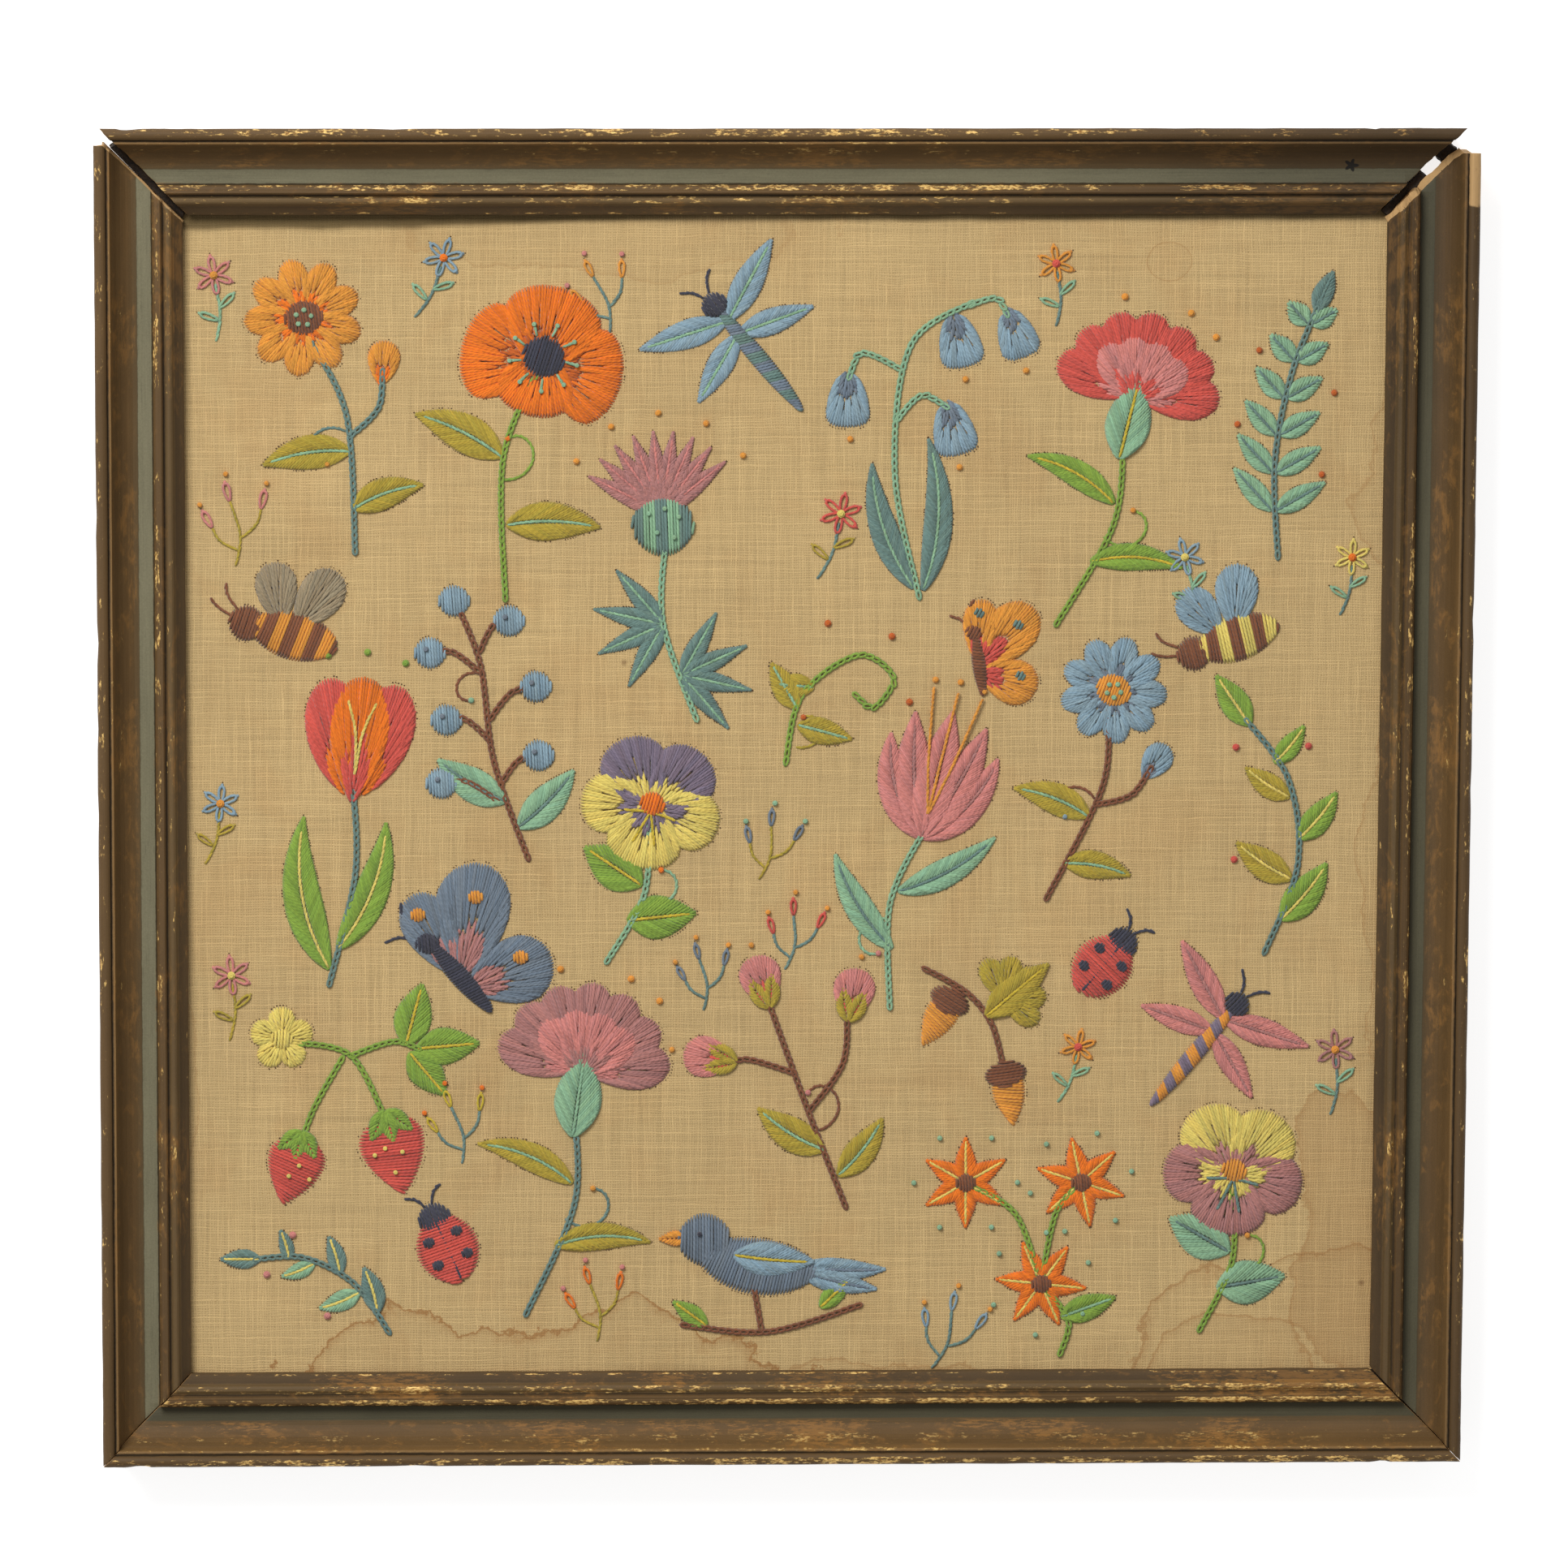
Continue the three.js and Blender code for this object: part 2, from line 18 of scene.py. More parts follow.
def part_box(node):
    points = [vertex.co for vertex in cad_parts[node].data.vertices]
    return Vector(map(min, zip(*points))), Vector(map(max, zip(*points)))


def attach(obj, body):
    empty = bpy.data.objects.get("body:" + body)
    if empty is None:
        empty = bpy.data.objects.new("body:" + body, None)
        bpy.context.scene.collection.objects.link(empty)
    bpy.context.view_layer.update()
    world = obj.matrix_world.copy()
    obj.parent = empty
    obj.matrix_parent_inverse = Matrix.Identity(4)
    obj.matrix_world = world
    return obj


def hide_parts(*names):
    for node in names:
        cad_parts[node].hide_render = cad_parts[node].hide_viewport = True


bl_info = {
    "name": "Framed needlework sampler",
    "version": (1, 0, 0),
    "blender": (4, 5, 0),
    "location": "View3D > Sidebar > Sampler",
    "description": "Dresses the frame, the linen and the wool motifs of a needlework sampler",
    "category": "Object",
}

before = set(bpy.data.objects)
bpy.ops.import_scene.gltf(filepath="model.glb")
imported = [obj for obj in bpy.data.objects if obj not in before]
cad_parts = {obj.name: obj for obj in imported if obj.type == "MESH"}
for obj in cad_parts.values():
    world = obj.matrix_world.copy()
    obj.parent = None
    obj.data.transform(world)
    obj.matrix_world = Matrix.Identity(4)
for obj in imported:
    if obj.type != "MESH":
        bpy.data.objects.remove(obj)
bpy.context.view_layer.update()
MM = 0.001


def dye(red, green, blue):
    """A colour as seen, 0 to 255, turned into linear light."""
    levels = [value / 255 for value in (red, green, blue)]
    return tuple(v / 12.92 if v <= 0.04045 else ((v + 0.055) / 1.055) ** 2.4 for v in levels)


WOOLS = {
    "coral": dye(204, 84, 72),
    "rose": dye(203, 128, 120),
    "mauve": dye(172, 118, 112),
    "orange": dye(228, 116, 28),
    "gold": dye(218, 146, 56),
    "yellow": dye(220, 198, 102),
    "mustard": dye(200, 174, 52),
    "olive": dye(172, 150, 54),
    "green": dye(130, 160, 62),
    "mint": dye(138, 176, 140),
    "teal": dye(104, 130, 122),
    "slate": dye(112, 124, 136),
    "blue": dye(134, 158, 170),
    "night": dye(62, 62, 74),
    "rust": dye(190, 94, 34),
    "brown": dye(126, 78, 52),
    "taupe": dye(152, 136, 108),
    "lilac": dye(124, 110, 126),
}


def colour_property(name, value):
    return FloatVectorProperty(
        name=name.capitalize(),
        description=f"Colour of the {name}",
        default=value,
        min=0,
        max=1,
        size=3,
        subtype="COLOR",
    )


def length_property(name, description, value):
    return FloatProperty(name=name, description=description, default=value, precision=5, unit="LENGTH")


def angle_property(name, description, degrees):
    return FloatProperty(name=name, description=description, default=math.radians(degrees), subtype="ANGLE")


class WoolColours(bpy.types.PropertyGroup):
    """The dyed wools, one colour each."""

    __annotations__ = {name: colour_property(name + " wool", value) for name, value in WOOLS.items()}


class StitchSizes(bpy.types.PropertyGroup):
    """Sizes of the wool stitches."""

    thread: length_property(
        "Thread width",
        "Width of one wool thread as it lies in satin stitch",
        1.12 * MM,
    )
    pitch: length_property(
        "Stitch spacing",
        "Distance from one satin stitch to the next",
        1.0 * MM,
    )
    link: length_property(
        "Chain link",
        "Length of one link of chain stitch, hole to hole",
        2.5 * MM,
    )
    link_width: length_property(
        "Chain width",
        "Width of a row of chain stitch",
        2.5 * MM,
    )


class ClothLook(bpy.types.PropertyGroup):
    """The linen ground."""

    thread_pitch: length_property(
        "Linen thread spacing",
        "Distance between two threads of the linen",
        0.85 * MM,
    )
    linen: colour_property("linen", dye(199, 170, 119))
    # gaps: colour laid in the low places between the threads, painted shade
    gaps: colour_property("gaps between the threads", dye(132, 102, 58))
    stain: colour_property("stains", dye(160, 116, 68))


class FrameLook(bpy.types.PropertyGroup):
    """The moulded wood frame."""

    umber: colour_property("umber paint", dye(98, 73, 40))
    bloom: colour_property("grey-green bloom", dye(131, 125, 98))
    gold: colour_property("rubbed gilding", dye(246, 204, 124))
    rust: colour_property("worn bole under the gilding", dye(150, 106, 52))
    pine: colour_property("bare wood", dye(182, 146, 98))
    edge_radius: length_property(
        "Edge radius",
        "How far the arrises of the moulding are rounded",
        0.16 * MM,
    )
    gilding: FloatProperty(
        name="Gilding left",
        description="Share of the gilding still on the beads",
        default=1.0,
        min=0,
        max=2,
        subtype="FACTOR",
    )


class StageLook(bpy.types.PropertyGroup):
    """Camera, floor and light."""

    distance: length_property(
        "Camera distance",
        "From the camera to the middle of the cloth",
        5.0,
    )
    view_width: length_property(
        "Width in view",
        "Width that the camera takes in at the cloth",
        0.5233,
    )
    above: angle_property(
        "Camera above square",
        "Angle of the view from the cloth's normal, towards the top of the picture",
        5.5,
    )
    aside: angle_property(
        "Camera beside square",
        "Angle of the view from the cloth's normal, towards the left of the picture",
        2.5,
    )
    roll: angle_property(
        "Camera roll",
        "Turn of the camera about its own axis",
        0.1,
    )
    sky: FloatProperty(
        name="Fill light",
        description="Brightness of the light from all round",
        default=0.42,
        min=0,
    )
    lamp: FloatProperty(
        name="Main light",
        description="Power of the large soft light at the upper left",
        default=46.0,
        min=0,
        unit="POWER",
    )


# Materials


class Signal:
    """An output of a material's node, used in plain arithmetic."""

    def __init__(self, finish, socket):
        self.finish = finish
        self.socket = socket

    def __add__(self, other):
        return self.finish.sum("ADD", self, other)

    def __sub__(self, other):
        return self.finish.sum("SUBTRACT", self, other)

    def __rsub__(self, other):
        return self.finish.sum("SUBTRACT", other, self)

    def __mul__(self, other):
        return self.finish.sum("MULTIPLY", self, other)

    def __truediv__(self, other):
        return self.finish.sum("DIVIDE", self, other)

    __radd__ = __add__
    __rmul__ = __mul__


class Finish:
    """A node-based material for one of the object's surfaces."""

    def __init__(self, name, roughness, **fixed):
        self.material = bpy.data.materials.new(name)
        self.material.use_nodes = True
        self.tree = self.material.node_tree
        self.shader = self.tree.nodes["Principled BSDF"]
        self.shader.inputs["Roughness"].default_value = roughness
        for socket, value in fixed.items():
            self.shader.inputs[socket.replace("_", " ")].default_value = value

    def node(self, kind, settings=None, inputs=None, output=0):
        """Adds a node. Its settings come first, then the values or signals of its sockets."""
        made = self.tree.nodes.new(kind)
        for name, value in (settings or {}).items():
            if name == "stops":
                self.set_stops(made.color_ramp, value)
            else:
                setattr(made, name, value)
        for name, value in (inputs or {}).items():
            self.plug(made.inputs[name], value)
        return Signal(self, made.outputs[output])

    def set_stops(self, ramp, stops):
        while len(ramp.elements) < len(stops):
            ramp.elements.new(0.5)
        for element, (position, colour) in zip(ramp.elements, stops):
            element.position = position
            element.color = (*colour, 1)

    def plug(self, socket, value):
        if isinstance(value, Signal):
            self.tree.links.new(value.socket, socket)
        elif isinstance(value, tuple) and socket.type == "RGBA":
            socket.default_value = (*value, 1)
        else:
            socket.default_value = value

    def sum(self, operation, first, second):
        return self.node("ShaderNodeMath", {"operation": operation}, {0: first, 1: second})

    def sine(self, angle):
        return self.sum("SINE", angle, 0.0)

    def cosine(self, angle):
        return self.sum("COSINE", angle, 0.0)

    def place(self):
        return self.node("ShaderNodeTexCoord", output="Object")

    def part(self, vector, axis):
        return self.node("ShaderNodeSeparateXYZ", inputs={0: vector}, output=axis)

    def point(self, x, y, z=0.0):
        return self.node("ShaderNodeCombineXYZ", inputs={0: x, 1: y, 2: z})

    def stretched(self, vector, x, y, z):
        inputs = {0: vector, 1: (x, y, z)}
        return self.node("ShaderNodeVectorMath", {"operation": "MULTIPLY"}, inputs)

    def noise(self, vector, scale, detail=2.0, roughness=0.5, distortion=0.0):
        inputs = {
            "Vector": vector,
            "Scale": scale,
            "Detail": detail,
            "Roughness": roughness,
            "Distortion": distortion,
        }
        return self.node("ShaderNodeTexNoise", None, inputs)

    def spots(self, vector, scale):
        """Distance to the nearest of many scattered points."""
        return self.node("ShaderNodeTexVoronoi", {"feature": "F1"}, {"Vector": vector, "Scale": scale})

    def smooth(self, value, low, high):
        """0 below low and 1 above high, or the other way round where low is the larger."""
        if low <= high:
            ends = (low, high, 0.0, 1.0)
        else:
            ends = (high, low, 1.0, 0.0)
        inputs = {0: value, 1: ends[0], 2: ends[1], 3: ends[2], 4: ends[3]}
        return self.node("ShaderNodeMapRange", {"interpolation_type": "SMOOTHSTEP"}, inputs)

    def band(self, value, centre, half, soft):
        """1 within half of the centre, and 0 further off than half and soft."""
        distance = self.sum("ABSOLUTE", value - centre, 0.0)
        return self.smooth(distance, half + soft, half)

    def blend(self, share, under, over, way="MIX"):
        settings = {"data_type": "RGBA", "blend_type": way}
        return self.node("ShaderNodeMix", settings, {0: share, 6: under, 7: over}, output=2)

    def tint(self, colour, amount):
        """The colour times a number."""
        grey = self.point(amount, amount, amount)
        return self.blend(1.0, colour, grey, "MULTIPLY")

    def blend_numbers(self, share, under, over):
        return under + (over - under) * share

    def ramp(self, value, stops):
        """A colour that changes from stop to stop, each a value from 0 to 1 and its colour."""
        return self.node("ShaderNodeValToRGB", {"stops": stops}, {0: value})

    def bump(self, height, depth, strength):
        inputs = {"Height": height, "Distance": depth, "Strength": strength}
        return self.node("ShaderNodeBump", None, inputs)

    def done(self, **sockets):
        for name, value in sockets.items():
            self.plug(self.shader.inputs[name.replace("_", " ")], value)
        return self.material


def wool_finish():
    """Twisted crewel wool. Its colour is painted on the mesh, thread by thread."""
    f = Finish("dyed_wool", 0.86, Sheen_Weight=0.35, Sheen_Roughness=0.5, Specular_IOR_Level=0.25)
    colour = f.node("ShaderNodeAttribute", {"attribute_name": "wool"}, output="Color")
    thread = f.node("ShaderNodeUVMap", {"uv_map": "thread"})
    along = f.part(thread, 0)
    around = f.part(thread, 1)
    twist = f.sine((along * 0.55 + around * 2.0) * (2 * math.pi))
    fibres = f.noise(f.stretched(thread, 1.6, 22.0, 1.0), 1.0, 3.0, 0.6)
    mottle = f.noise(f.place(), 420.0, 2.0)
    # The twist term lightens the ply ridges and darkens the grooves between them: painted shade
    shade = 0.72 + 0.22 * fibres + 0.28 * mottle + 0.06 * twist
    height = 0.5 * twist + 0.8 * fibres
    return f.done(Base_Color=f.tint(colour, shade), Normal=f.bump(height, 0.00016, 0.6))


def linen_finish(look):
    """Plain weave with slubs, brown tide lines, specks, and a darker strip under the top rail: painted
    shadow of the rail with some dirt.
    """
    f = Finish("tan_linen", 0.93, Sheen_Weight=0.12, Sheen_Roughness=0.6, Specular_IOR_Level=0.15)
    place = f.place()
    x = f.part(place, 0)
    y = f.part(place, 1)
    height, warp, weft = plain_weave(f, place, x, y, look.thread_pitch)
    slub_warp = f.noise(f.stretched(place, 900.0, 22.0, 1.0), 1.0, 3.0, 0.7)
    slub_weft = f.noise(f.stretched(place, 16.0, 1000.0, 1.0), 1.0, 3.0, 0.7)
    slubs = f.blend_numbers(f.smooth(warp - weft, -0.5, 0.5), slub_weft, slub_warp)
    fibre = f.noise(place, 2600.0, 3.0, 0.7)
    clouds = f.noise(place, 15.0, 5.0, 0.65)
    shade = 0.09 + 1.2 * slubs + 0.36 * fibre + 0.28 * clouds
    thread = f.tint(tuple(look.linen), shade)
    ruddy = f.smooth(f.noise(place, 26.0, 4.0, 0.65, 0.4), 0.45, 0.7)
    thread = f.blend(ruddy * 0.45, thread, f.blend(1.0, thread, (0.9, 0.8, 0.74), "MULTIPLY"))
    # Where the weave is lowest, between the threads, the gap colour is laid on as painted shade
    weave_gaps_shade = f.smooth(height, 0.5, 0.05) * f.smooth(fibre, 0.3, 0.7) * 0.7
    colour = f.blend(weave_gaps_shade, thread, tuple(look.gaps))
    for stain in STAINS:
        colour = stained(f, place, x, y, colour, stain, tuple(look.stain))
    specks = f.smooth(f.spots(place, 26.0), 0.05, 0.02)
    specks = specks * f.smooth(f.noise(place, 14.0, 1.0), 0.55, 0.62)
    colour = f.blend(specks * 0.8, colour, dye(96, 60, 32))
    # Olive-brown strip under the top rail: painted shadow of the rail, with some dirt
    colour = f.blend(under_rail_shade_and_dirt(f, place, x, y), colour, dye(84, 68, 38))
    pile = height * 0.6 + 0.6 * fibre + 0.7 * slubs
    return f.done(Base_Color=colour, Normal=f.bump(pile, 0.0003, 0.7))


def plain_weave(f, place, x, y, pitch):
    """Threads over and under each other, with uneven spacing. Gives their height, and each thread's own."""
    drift = f.noise(place, 38.0, 3.0, 0.55)
    across = f.noise(f.stretched(place, 520.0, 90.0, 1.0), 1.0, 3.0)
    upward = f.noise(f.stretched(place, 90.0, 520.0, 1.0), 1.0, 3.0)
    warp_at = x / pitch + 2.6 * drift + 1.5 * across
    weft_at = y / pitch - 2.2 * drift + 1.5 * upward
    warp = 0.5 + 0.5 * f.cosine(warp_at * (2 * math.pi))
    weft = 0.5 + 0.5 * f.cosine(weft_at * (2 * math.pi))
    over = f.cosine(warp_at * math.pi) * f.cosine(weft_at * math.pi)
    height = f.sum("MAXIMUM", warp * (0.62 + 0.38 * over), weft * (0.62 - 0.38 * over))
    return height, warp, weft


Stain = namedtuple("Stain", "x y wide high wobble strength edge")

# Centre and half sizes, in millimetres from the middle of the frame. Then how ragged the stain is, how brown
# it is inside, and how dark its tide line is.
STAINS = [
    Stain(-84, -214, 96, 40, 1.1, 0.1, 0.8),
    Stain(30, -216, 60, 26, 0.9, 0.08, 0.35),
    Stain(170, -196, 52, 42, 0.9, 0.12, 0.5),
    Stain(206, -150, 34, 52, 0.9, 0.55, 0.25),
    Stain(150, -196, 26, 20, 0.8, 0.12, 0.4),
    Stain(212, 104, 20, 34, 0.9, 0.1, 0.25),
    Stain(214, -40, 20, 76, 0.9, 0.1, 0.28),
    Stain(-212, -60, 14, 90, 0.8, 0.14, 0.2),
    Stain(128, 178, 8, 7, 0.4, 0.02, 0.35),
    Stain(-60, 196, 70, 22, 0.9, 0.12, 0.15),
]


def stained(f, place, x, y, colour, stain, brown):
    """Lays one water stain with its darker tide line over the colour."""
    lobes = f.noise(place, 24.0, 2.0, 0.5) - 0.5
    ragged = f.noise(place, 90.0, 6.0, 0.68) - 0.5
    right = (x - stain.x * MM) / (stain.wide * MM)
    up = (y - stain.y * MM) / (stain.high * MM)
    wander = (1.5 * lobes + 0.5 * ragged) * stain.wobble
    reach = f.sum("SQRT", right * right + up * up, 0.0) + wander
    inside = f.smooth(reach, 1.0, 0.97)
    glow = inside * f.smooth(reach, 0.84, 1.0)
    line = f.band(reach, 0.98, 0.008, 0.022)
    body = f.blend(inside * stain.strength * 0.5 + glow * stain.edge * 0.5, colour, brown)
    return f.blend(line * stain.edge, body, brown)


def under_rail_shade_and_dirt(f, place, x, y):
    """Painted shadow of the top rail mixed with soot and old glue, in a ragged strip along the top of the
    cloth, widest at the left.
    """
    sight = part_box("rail_top")[0].y
    ragged = 1.8 * MM * (f.noise(f.stretched(place, 60.0, 20.0, 1.0), 1.0, 3.0) - 0.5)
    reach = sight - 4.6 * MM + f.smooth(x, -0.16, -0.02) * (3.4 * MM) + ragged
    return f.smooth(y - reach, -1.6 * MM, 1.0 * MM) * 0.85


MOULDING_WIDE_MM = 30.0


def gilt_finish(look, plan):
    """Umber and grey-green paint over the moulding, with rubbed gilding on its beads.

    The map runs along the rail in x and inwards across it in y. depth is the distance in from the outer edge
    in millimetres: outer bead up to 4, fillet up to 5, cove up to 14, flat band up to 19, gilt bead up to
    22.6, step bead up to 26, and the slope to the cloth up to 30.
    """
    f = Finish("gilt_" + plan.node, 0.55, Specular_IOR_Level=0.3)
    place = f.place()
    rail = f.node("ShaderNodeUVMap", {"uv_map": "moulding"})
    run = f.part(rail, 0)
    inward = f.part(rail, 1) * 1000.0
    wander = f.noise(place, 260.0, 3.0, 0.6) - 0.5
    depth = inward + 0.5 * wander
    cloudy = f.noise(f.stretched(rail, 30.0, 90.0, 1.0), 1.0, 4.0, 0.6)
    grain = f.noise(f.stretched(rail, 38.0, 1500.0, 1.0), 1.0, 3.0, 0.6)
    fine = f.noise(place, 1700.0, 3.0, 0.6)
    patchy = f.noise(f.stretched(rail, 22.0, 60.0, 1.0), 1.0, 2.0)
    paint = f.ramp(depth / MOULDING_WIDE_MM, paint_stops(look))
    soot = f.smooth(run, 0.28, 0.43) * plan.soot
    slow = f.noise(f.stretched(rail, 7.0, 12.0, 1.0), 1.0, 2.0)
    shade = (0.3 + 0.5 * cloudy + 0.3 * grain + 0.3 * fine + 0.3 * slow) * (1.0 - 0.45 * soot)
    paint = f.tint(paint, shade * plan.tone)
    on_band = f.smooth(depth, 14.0, 14.3) * f.smooth(depth, 19.0, 18.6)
    bloomed = on_band * (0.62 + 0.5 * cloudy + 0.35 * (fine - 0.5))
    haze = f.tint(tuple(look.bloom), (0.72 + 0.36 * grain + 0.2 * fine) * (1.0 - 0.4 * soot))
    # plan.bloom is low on the bottom and right rails, so their flat band stays dark there as painted shade
    paint = f.blend(bloomed * plan.bloom, paint, haze)
    scratches = f.noise(f.stretched(rail, 60.0, 1900.0, 1.0), 1.0, 3.0, 0.7)
    paint = f.blend(f.smooth(scratches, 0.62, 0.68) * on_band * 0.4, paint, dye(60, 56, 40))
    worn = worn_patches(f, rail, depth, patchy, plan.streaks) * (1.0 - 0.5 * soot)
    paint = f.blend(worn * plan.rust, paint, tuple(look.rust))
    kept = 0.6 * patchy + 0.4 * slow - 0.14 * soot
    leaf = gold_flecks(f, rail, depth, kept, plan.gilding * look.gilding)
    bright = f.noise(f.stretched(rail, 700.0, 1900.0, 1.0), 1.0, 2.0)
    clean = f.smooth(bright, 0.36, 0.58) * (1.0 - 0.6 * soot)
    gilt = f.blend(clean, tuple(look.rust), tuple(look.gold))
    colour = f.blend(leaf * 0.96, paint, gilt)
    # Near-black lines in the grooves and at the foot of the gilt bead: painted shade in the recesses
    groove_shade = f.band(depth, 4.0, 0.1, 0.2) + f.band(depth, 19.0, 0.05, 0.3)
    groove_shade = groove_shade + f.band(depth, 22.6, 0.1, 0.2) * 0.3
    colour = f.blend(f.smooth(groove_shade, 0.0, 1.0) * 0.55, colour, dye(26, 21, 12))
    nicks = f.smooth(f.noise(f.stretched(rail, 150.0, 210.0, 1.0), 1.0, 5.0, 0.75), 0.7, 0.73)
    colour = f.blend(nicks * 0.4, colour, tuple(look.pine))
    bare = f.smooth(run + 0.004 * wander, plan.bare_above, plan.bare_above + 0.0012)
    bare = bare * f.smooth(depth, 4.0, 3.7)
    colour = f.blend(bare, colour, f.tint(tuple(look.pine), 0.6 + 0.7 * grain))
    if plan.chip:
        colour = chipped(f, run * 1000.0, inward, wander, colour, plan.chip)
    relief = 0.5 * grain + 0.35 * fine + 0.5 * leaf - 0.6 * nicks
    return f.done(
        Base_Color=colour,
        Metallic=leaf * 0.25,
        Roughness=0.62 - 0.22 * leaf + 0.16 * (fine - 0.5),
        Normal=f.bump(relief, 0.00022, 0.6),
    )


def worn_patches(f, rail, depth, patchy, streaks):
    """Share of worn, golden-brown bole: blotches and streaks in the cove, thinner on the inner beads."""
    blotch = f.noise(f.stretched(rail, 150.0, 330.0, 1.0), 1.0, 4.0, 0.62, 0.5)
    streak = f.noise(f.stretched(rail, 240.0, 1500.0, 1.0), 1.0, 4.0, 0.75)
    soft = f.smooth(blotch + 0.6 * (patchy - 0.5), 0.46, 0.72) * 0.6
    sharp = f.smooth(streak + 0.8 * (patchy - 0.5), 0.57, 0.66) * streaks
    where = f.band(depth, 8.8, 3.8, 1.6) + f.band(depth, 22.5, 3.6, 0.8)
    where = where + f.band(depth, 28.0, 1.0, 0.6) * 0.6
    return f.smooth(soft + sharp, 0.0, 1.0) * f.smooth(where, 0.0, 1.0)


def gold_flecks(f, rail, depth, patchy, gilding):
    """Share of gold leaf: fine dashes that are left on the crests of the beads and on the thin fillets."""
    flaky = f.noise(f.stretched(rail, 360.0, 1300.0, 1.0), 1.0, 4.0, 0.66)
    cluster = f.noise(f.stretched(rail, 110.0, 420.0, 1.0), 1.0, 2.0)
    crest = f.band(depth, 1.4, 0.9, 0.7) * 0.85 + f.band(depth, 20.1, 0.8, 0.5) * 1.1
    crest = crest + f.band(depth, 24.2, 1.0, 0.5) * 0.75 + f.band(depth, 5.0, 0.3, 0.3) * 0.7
    crest = crest + f.band(depth, 28.9, 0.15, 0.3) * 0.7 + f.band(depth, 8.0, 0.8, 1.6) * 0.35
    held = flaky + 0.7 * (patchy - 0.5) + 0.8 * (cluster - 0.5) + 0.2 * (crest - 1.0)
    worn = 0.74 - 0.15 * gilding
    return f.smooth(held, worn, worn + 0.14) * f.smooth(crest, 0.05, 0.6)


def chipped(f, run, inward, wander, colour, chip):
    """A dark star-shaped bruise. chip is its place along and across the rail, in millimetres."""
    along = run - chip[0]
    across = inward - chip[1]
    reach = f.sum("SQRT", along * along + across * across, 0.0)
    turn = f.sum("ARCTAN2", across, along)
    rays = 1.5 + 0.6 * f.cosine(turn * 5.0) + 1.2 * wander
    return f.blend(f.smooth(reach - rays, 0.35, 0.0) * 0.92, colour, dye(14, 11, 8))


def paint_stops(look):
    """Paint across the moulding, by the distance in from its outer edge."""
    umber = tuple(look.umber)
    bead = dye(92, 69, 39)
    # dull: the flat band's paint under the bloom, dark so that where the bloom is left off it is painted
    # shadow of the gilt bead
    dull = dye(72, 67, 47)
    # groove: darker paint in the grooves at 4.3 and 22.8 mm, painted shade in the recesses
    groove = dye(60, 46, 28)
    stops = [
        (0.0, bead),
        (3.6, bead),
        (4.3, groove),
        (4.8, dye(134, 102, 60)),
        (6.2, umber),
        (11.0, umber),
        (13.9, dye(88, 70, 42)),
        (14.2, dull),
        (18.6, dull),
        (19.3, bead),
        (22.2, bead),
        (22.8, groove),
        (23.3, dye(104, 82, 50)),
        (26.2, dye(92, 72, 44)),
        (26.6, dye(72, 55, 33)),
        (29.4, dye(84, 65, 40)),
    ]
    return [(depth / MOULDING_WIDE_MM, colour) for depth, colour in stops]


def pine_finish(look):
    """Bare, aged softwood on the cut ends and the backs of the rails."""
    f = Finish("bare_pine", 0.8, Specular_IOR_Level=0.2)
    rail = f.node("ShaderNodeUVMap", {"uv_map": "moulding"})
    place = f.place()
    grain = f.noise(f.stretched(rail, 24.0, 620.0, 1.0), 1.0, 4.0, 0.6, 0.4)
    pores = f.noise(place, 2100.0, 2.0)
    rough = f.noise(place, 260.0, 3.0, 0.6)
    shade = 0.5 + 0.6 * grain + 0.2 * pores + 0.25 * rough
    dirty = f.smooth(f.noise(place, 60.0, 3.0), 0.5, 0.72)
    colour = f.blend(dirty * 0.45, f.tint(tuple(look.pine), shade), dye(88, 66, 42))
    return f.done(Base_Color=colour, Normal=f.bump(grain + 0.5 * pores + rough, 0.0004, 0.6))


def board_finish():
    """Brown wood-pulp board with flecks and scuffs."""
    f = Finish("pulp_board", 0.92, Specular_IOR_Level=0.15)
    place = f.place()
    cloudy = f.noise(place, 18.0, 4.0, 0.6)
    pulp = f.noise(f.stretched(place, 700.0, 260.0, 500.0), 1.0, 4.0, 0.7)
    flecks = f.smooth(f.noise(f.stretched(place, 900.0, 240.0, 600.0), 1.0, 1.0), 0.68, 0.74)
    colour = f.tint(dye(136, 110, 76), 0.66 + 0.34 * cloudy + 0.3 * pulp)
    colour = f.blend(flecks * 0.5, colour, dye(82, 60, 36))
    return f.done(Base_Color=colour, Normal=f.bump(pulp, 0.0002, 0.5))


def floor_finish():
    """A white table that gives off some light, which keeps the shadows on it faint."""
    f = Finish("pale_floor", 0.9, Specular_IOR_Level=0.1, Emission_Strength=0.8)
    faint = f.noise(f.place(), 3.0, 2.0)
    return f.done(Base_Color=f.tint((0.5, 0.5, 0.5), 0.97 + 0.04 * faint), Emission_Color=(1.0, 1.0, 1.0))


# Shared tools


def deselect():
    if bpy.context.object and bpy.context.object.mode != "OBJECT":
        bpy.ops.object.mode_set(mode="OBJECT")
    bpy.ops.object.select_all(action="DESELECT")


def pick(piece):
    deselect()
    piece.select_set(True)
    bpy.context.view_layer.objects.active = piece


def rename(piece, name):
    piece.name = name
    piece.data.name = name
    return piece


def settle(piece):
    """Puts a primitive's place into its mesh."""
    pick(piece)
    bpy.ops.object.transform_apply(location=True, rotation=True, scale=True)


def carry(piece, slot, *nodes):
    """Every piece rides on the one body and stands for its solids, which are hidden. Its slot is not used.
    """
    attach(piece, "root")
    if nodes:
        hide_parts(*nodes)


# Frame rails

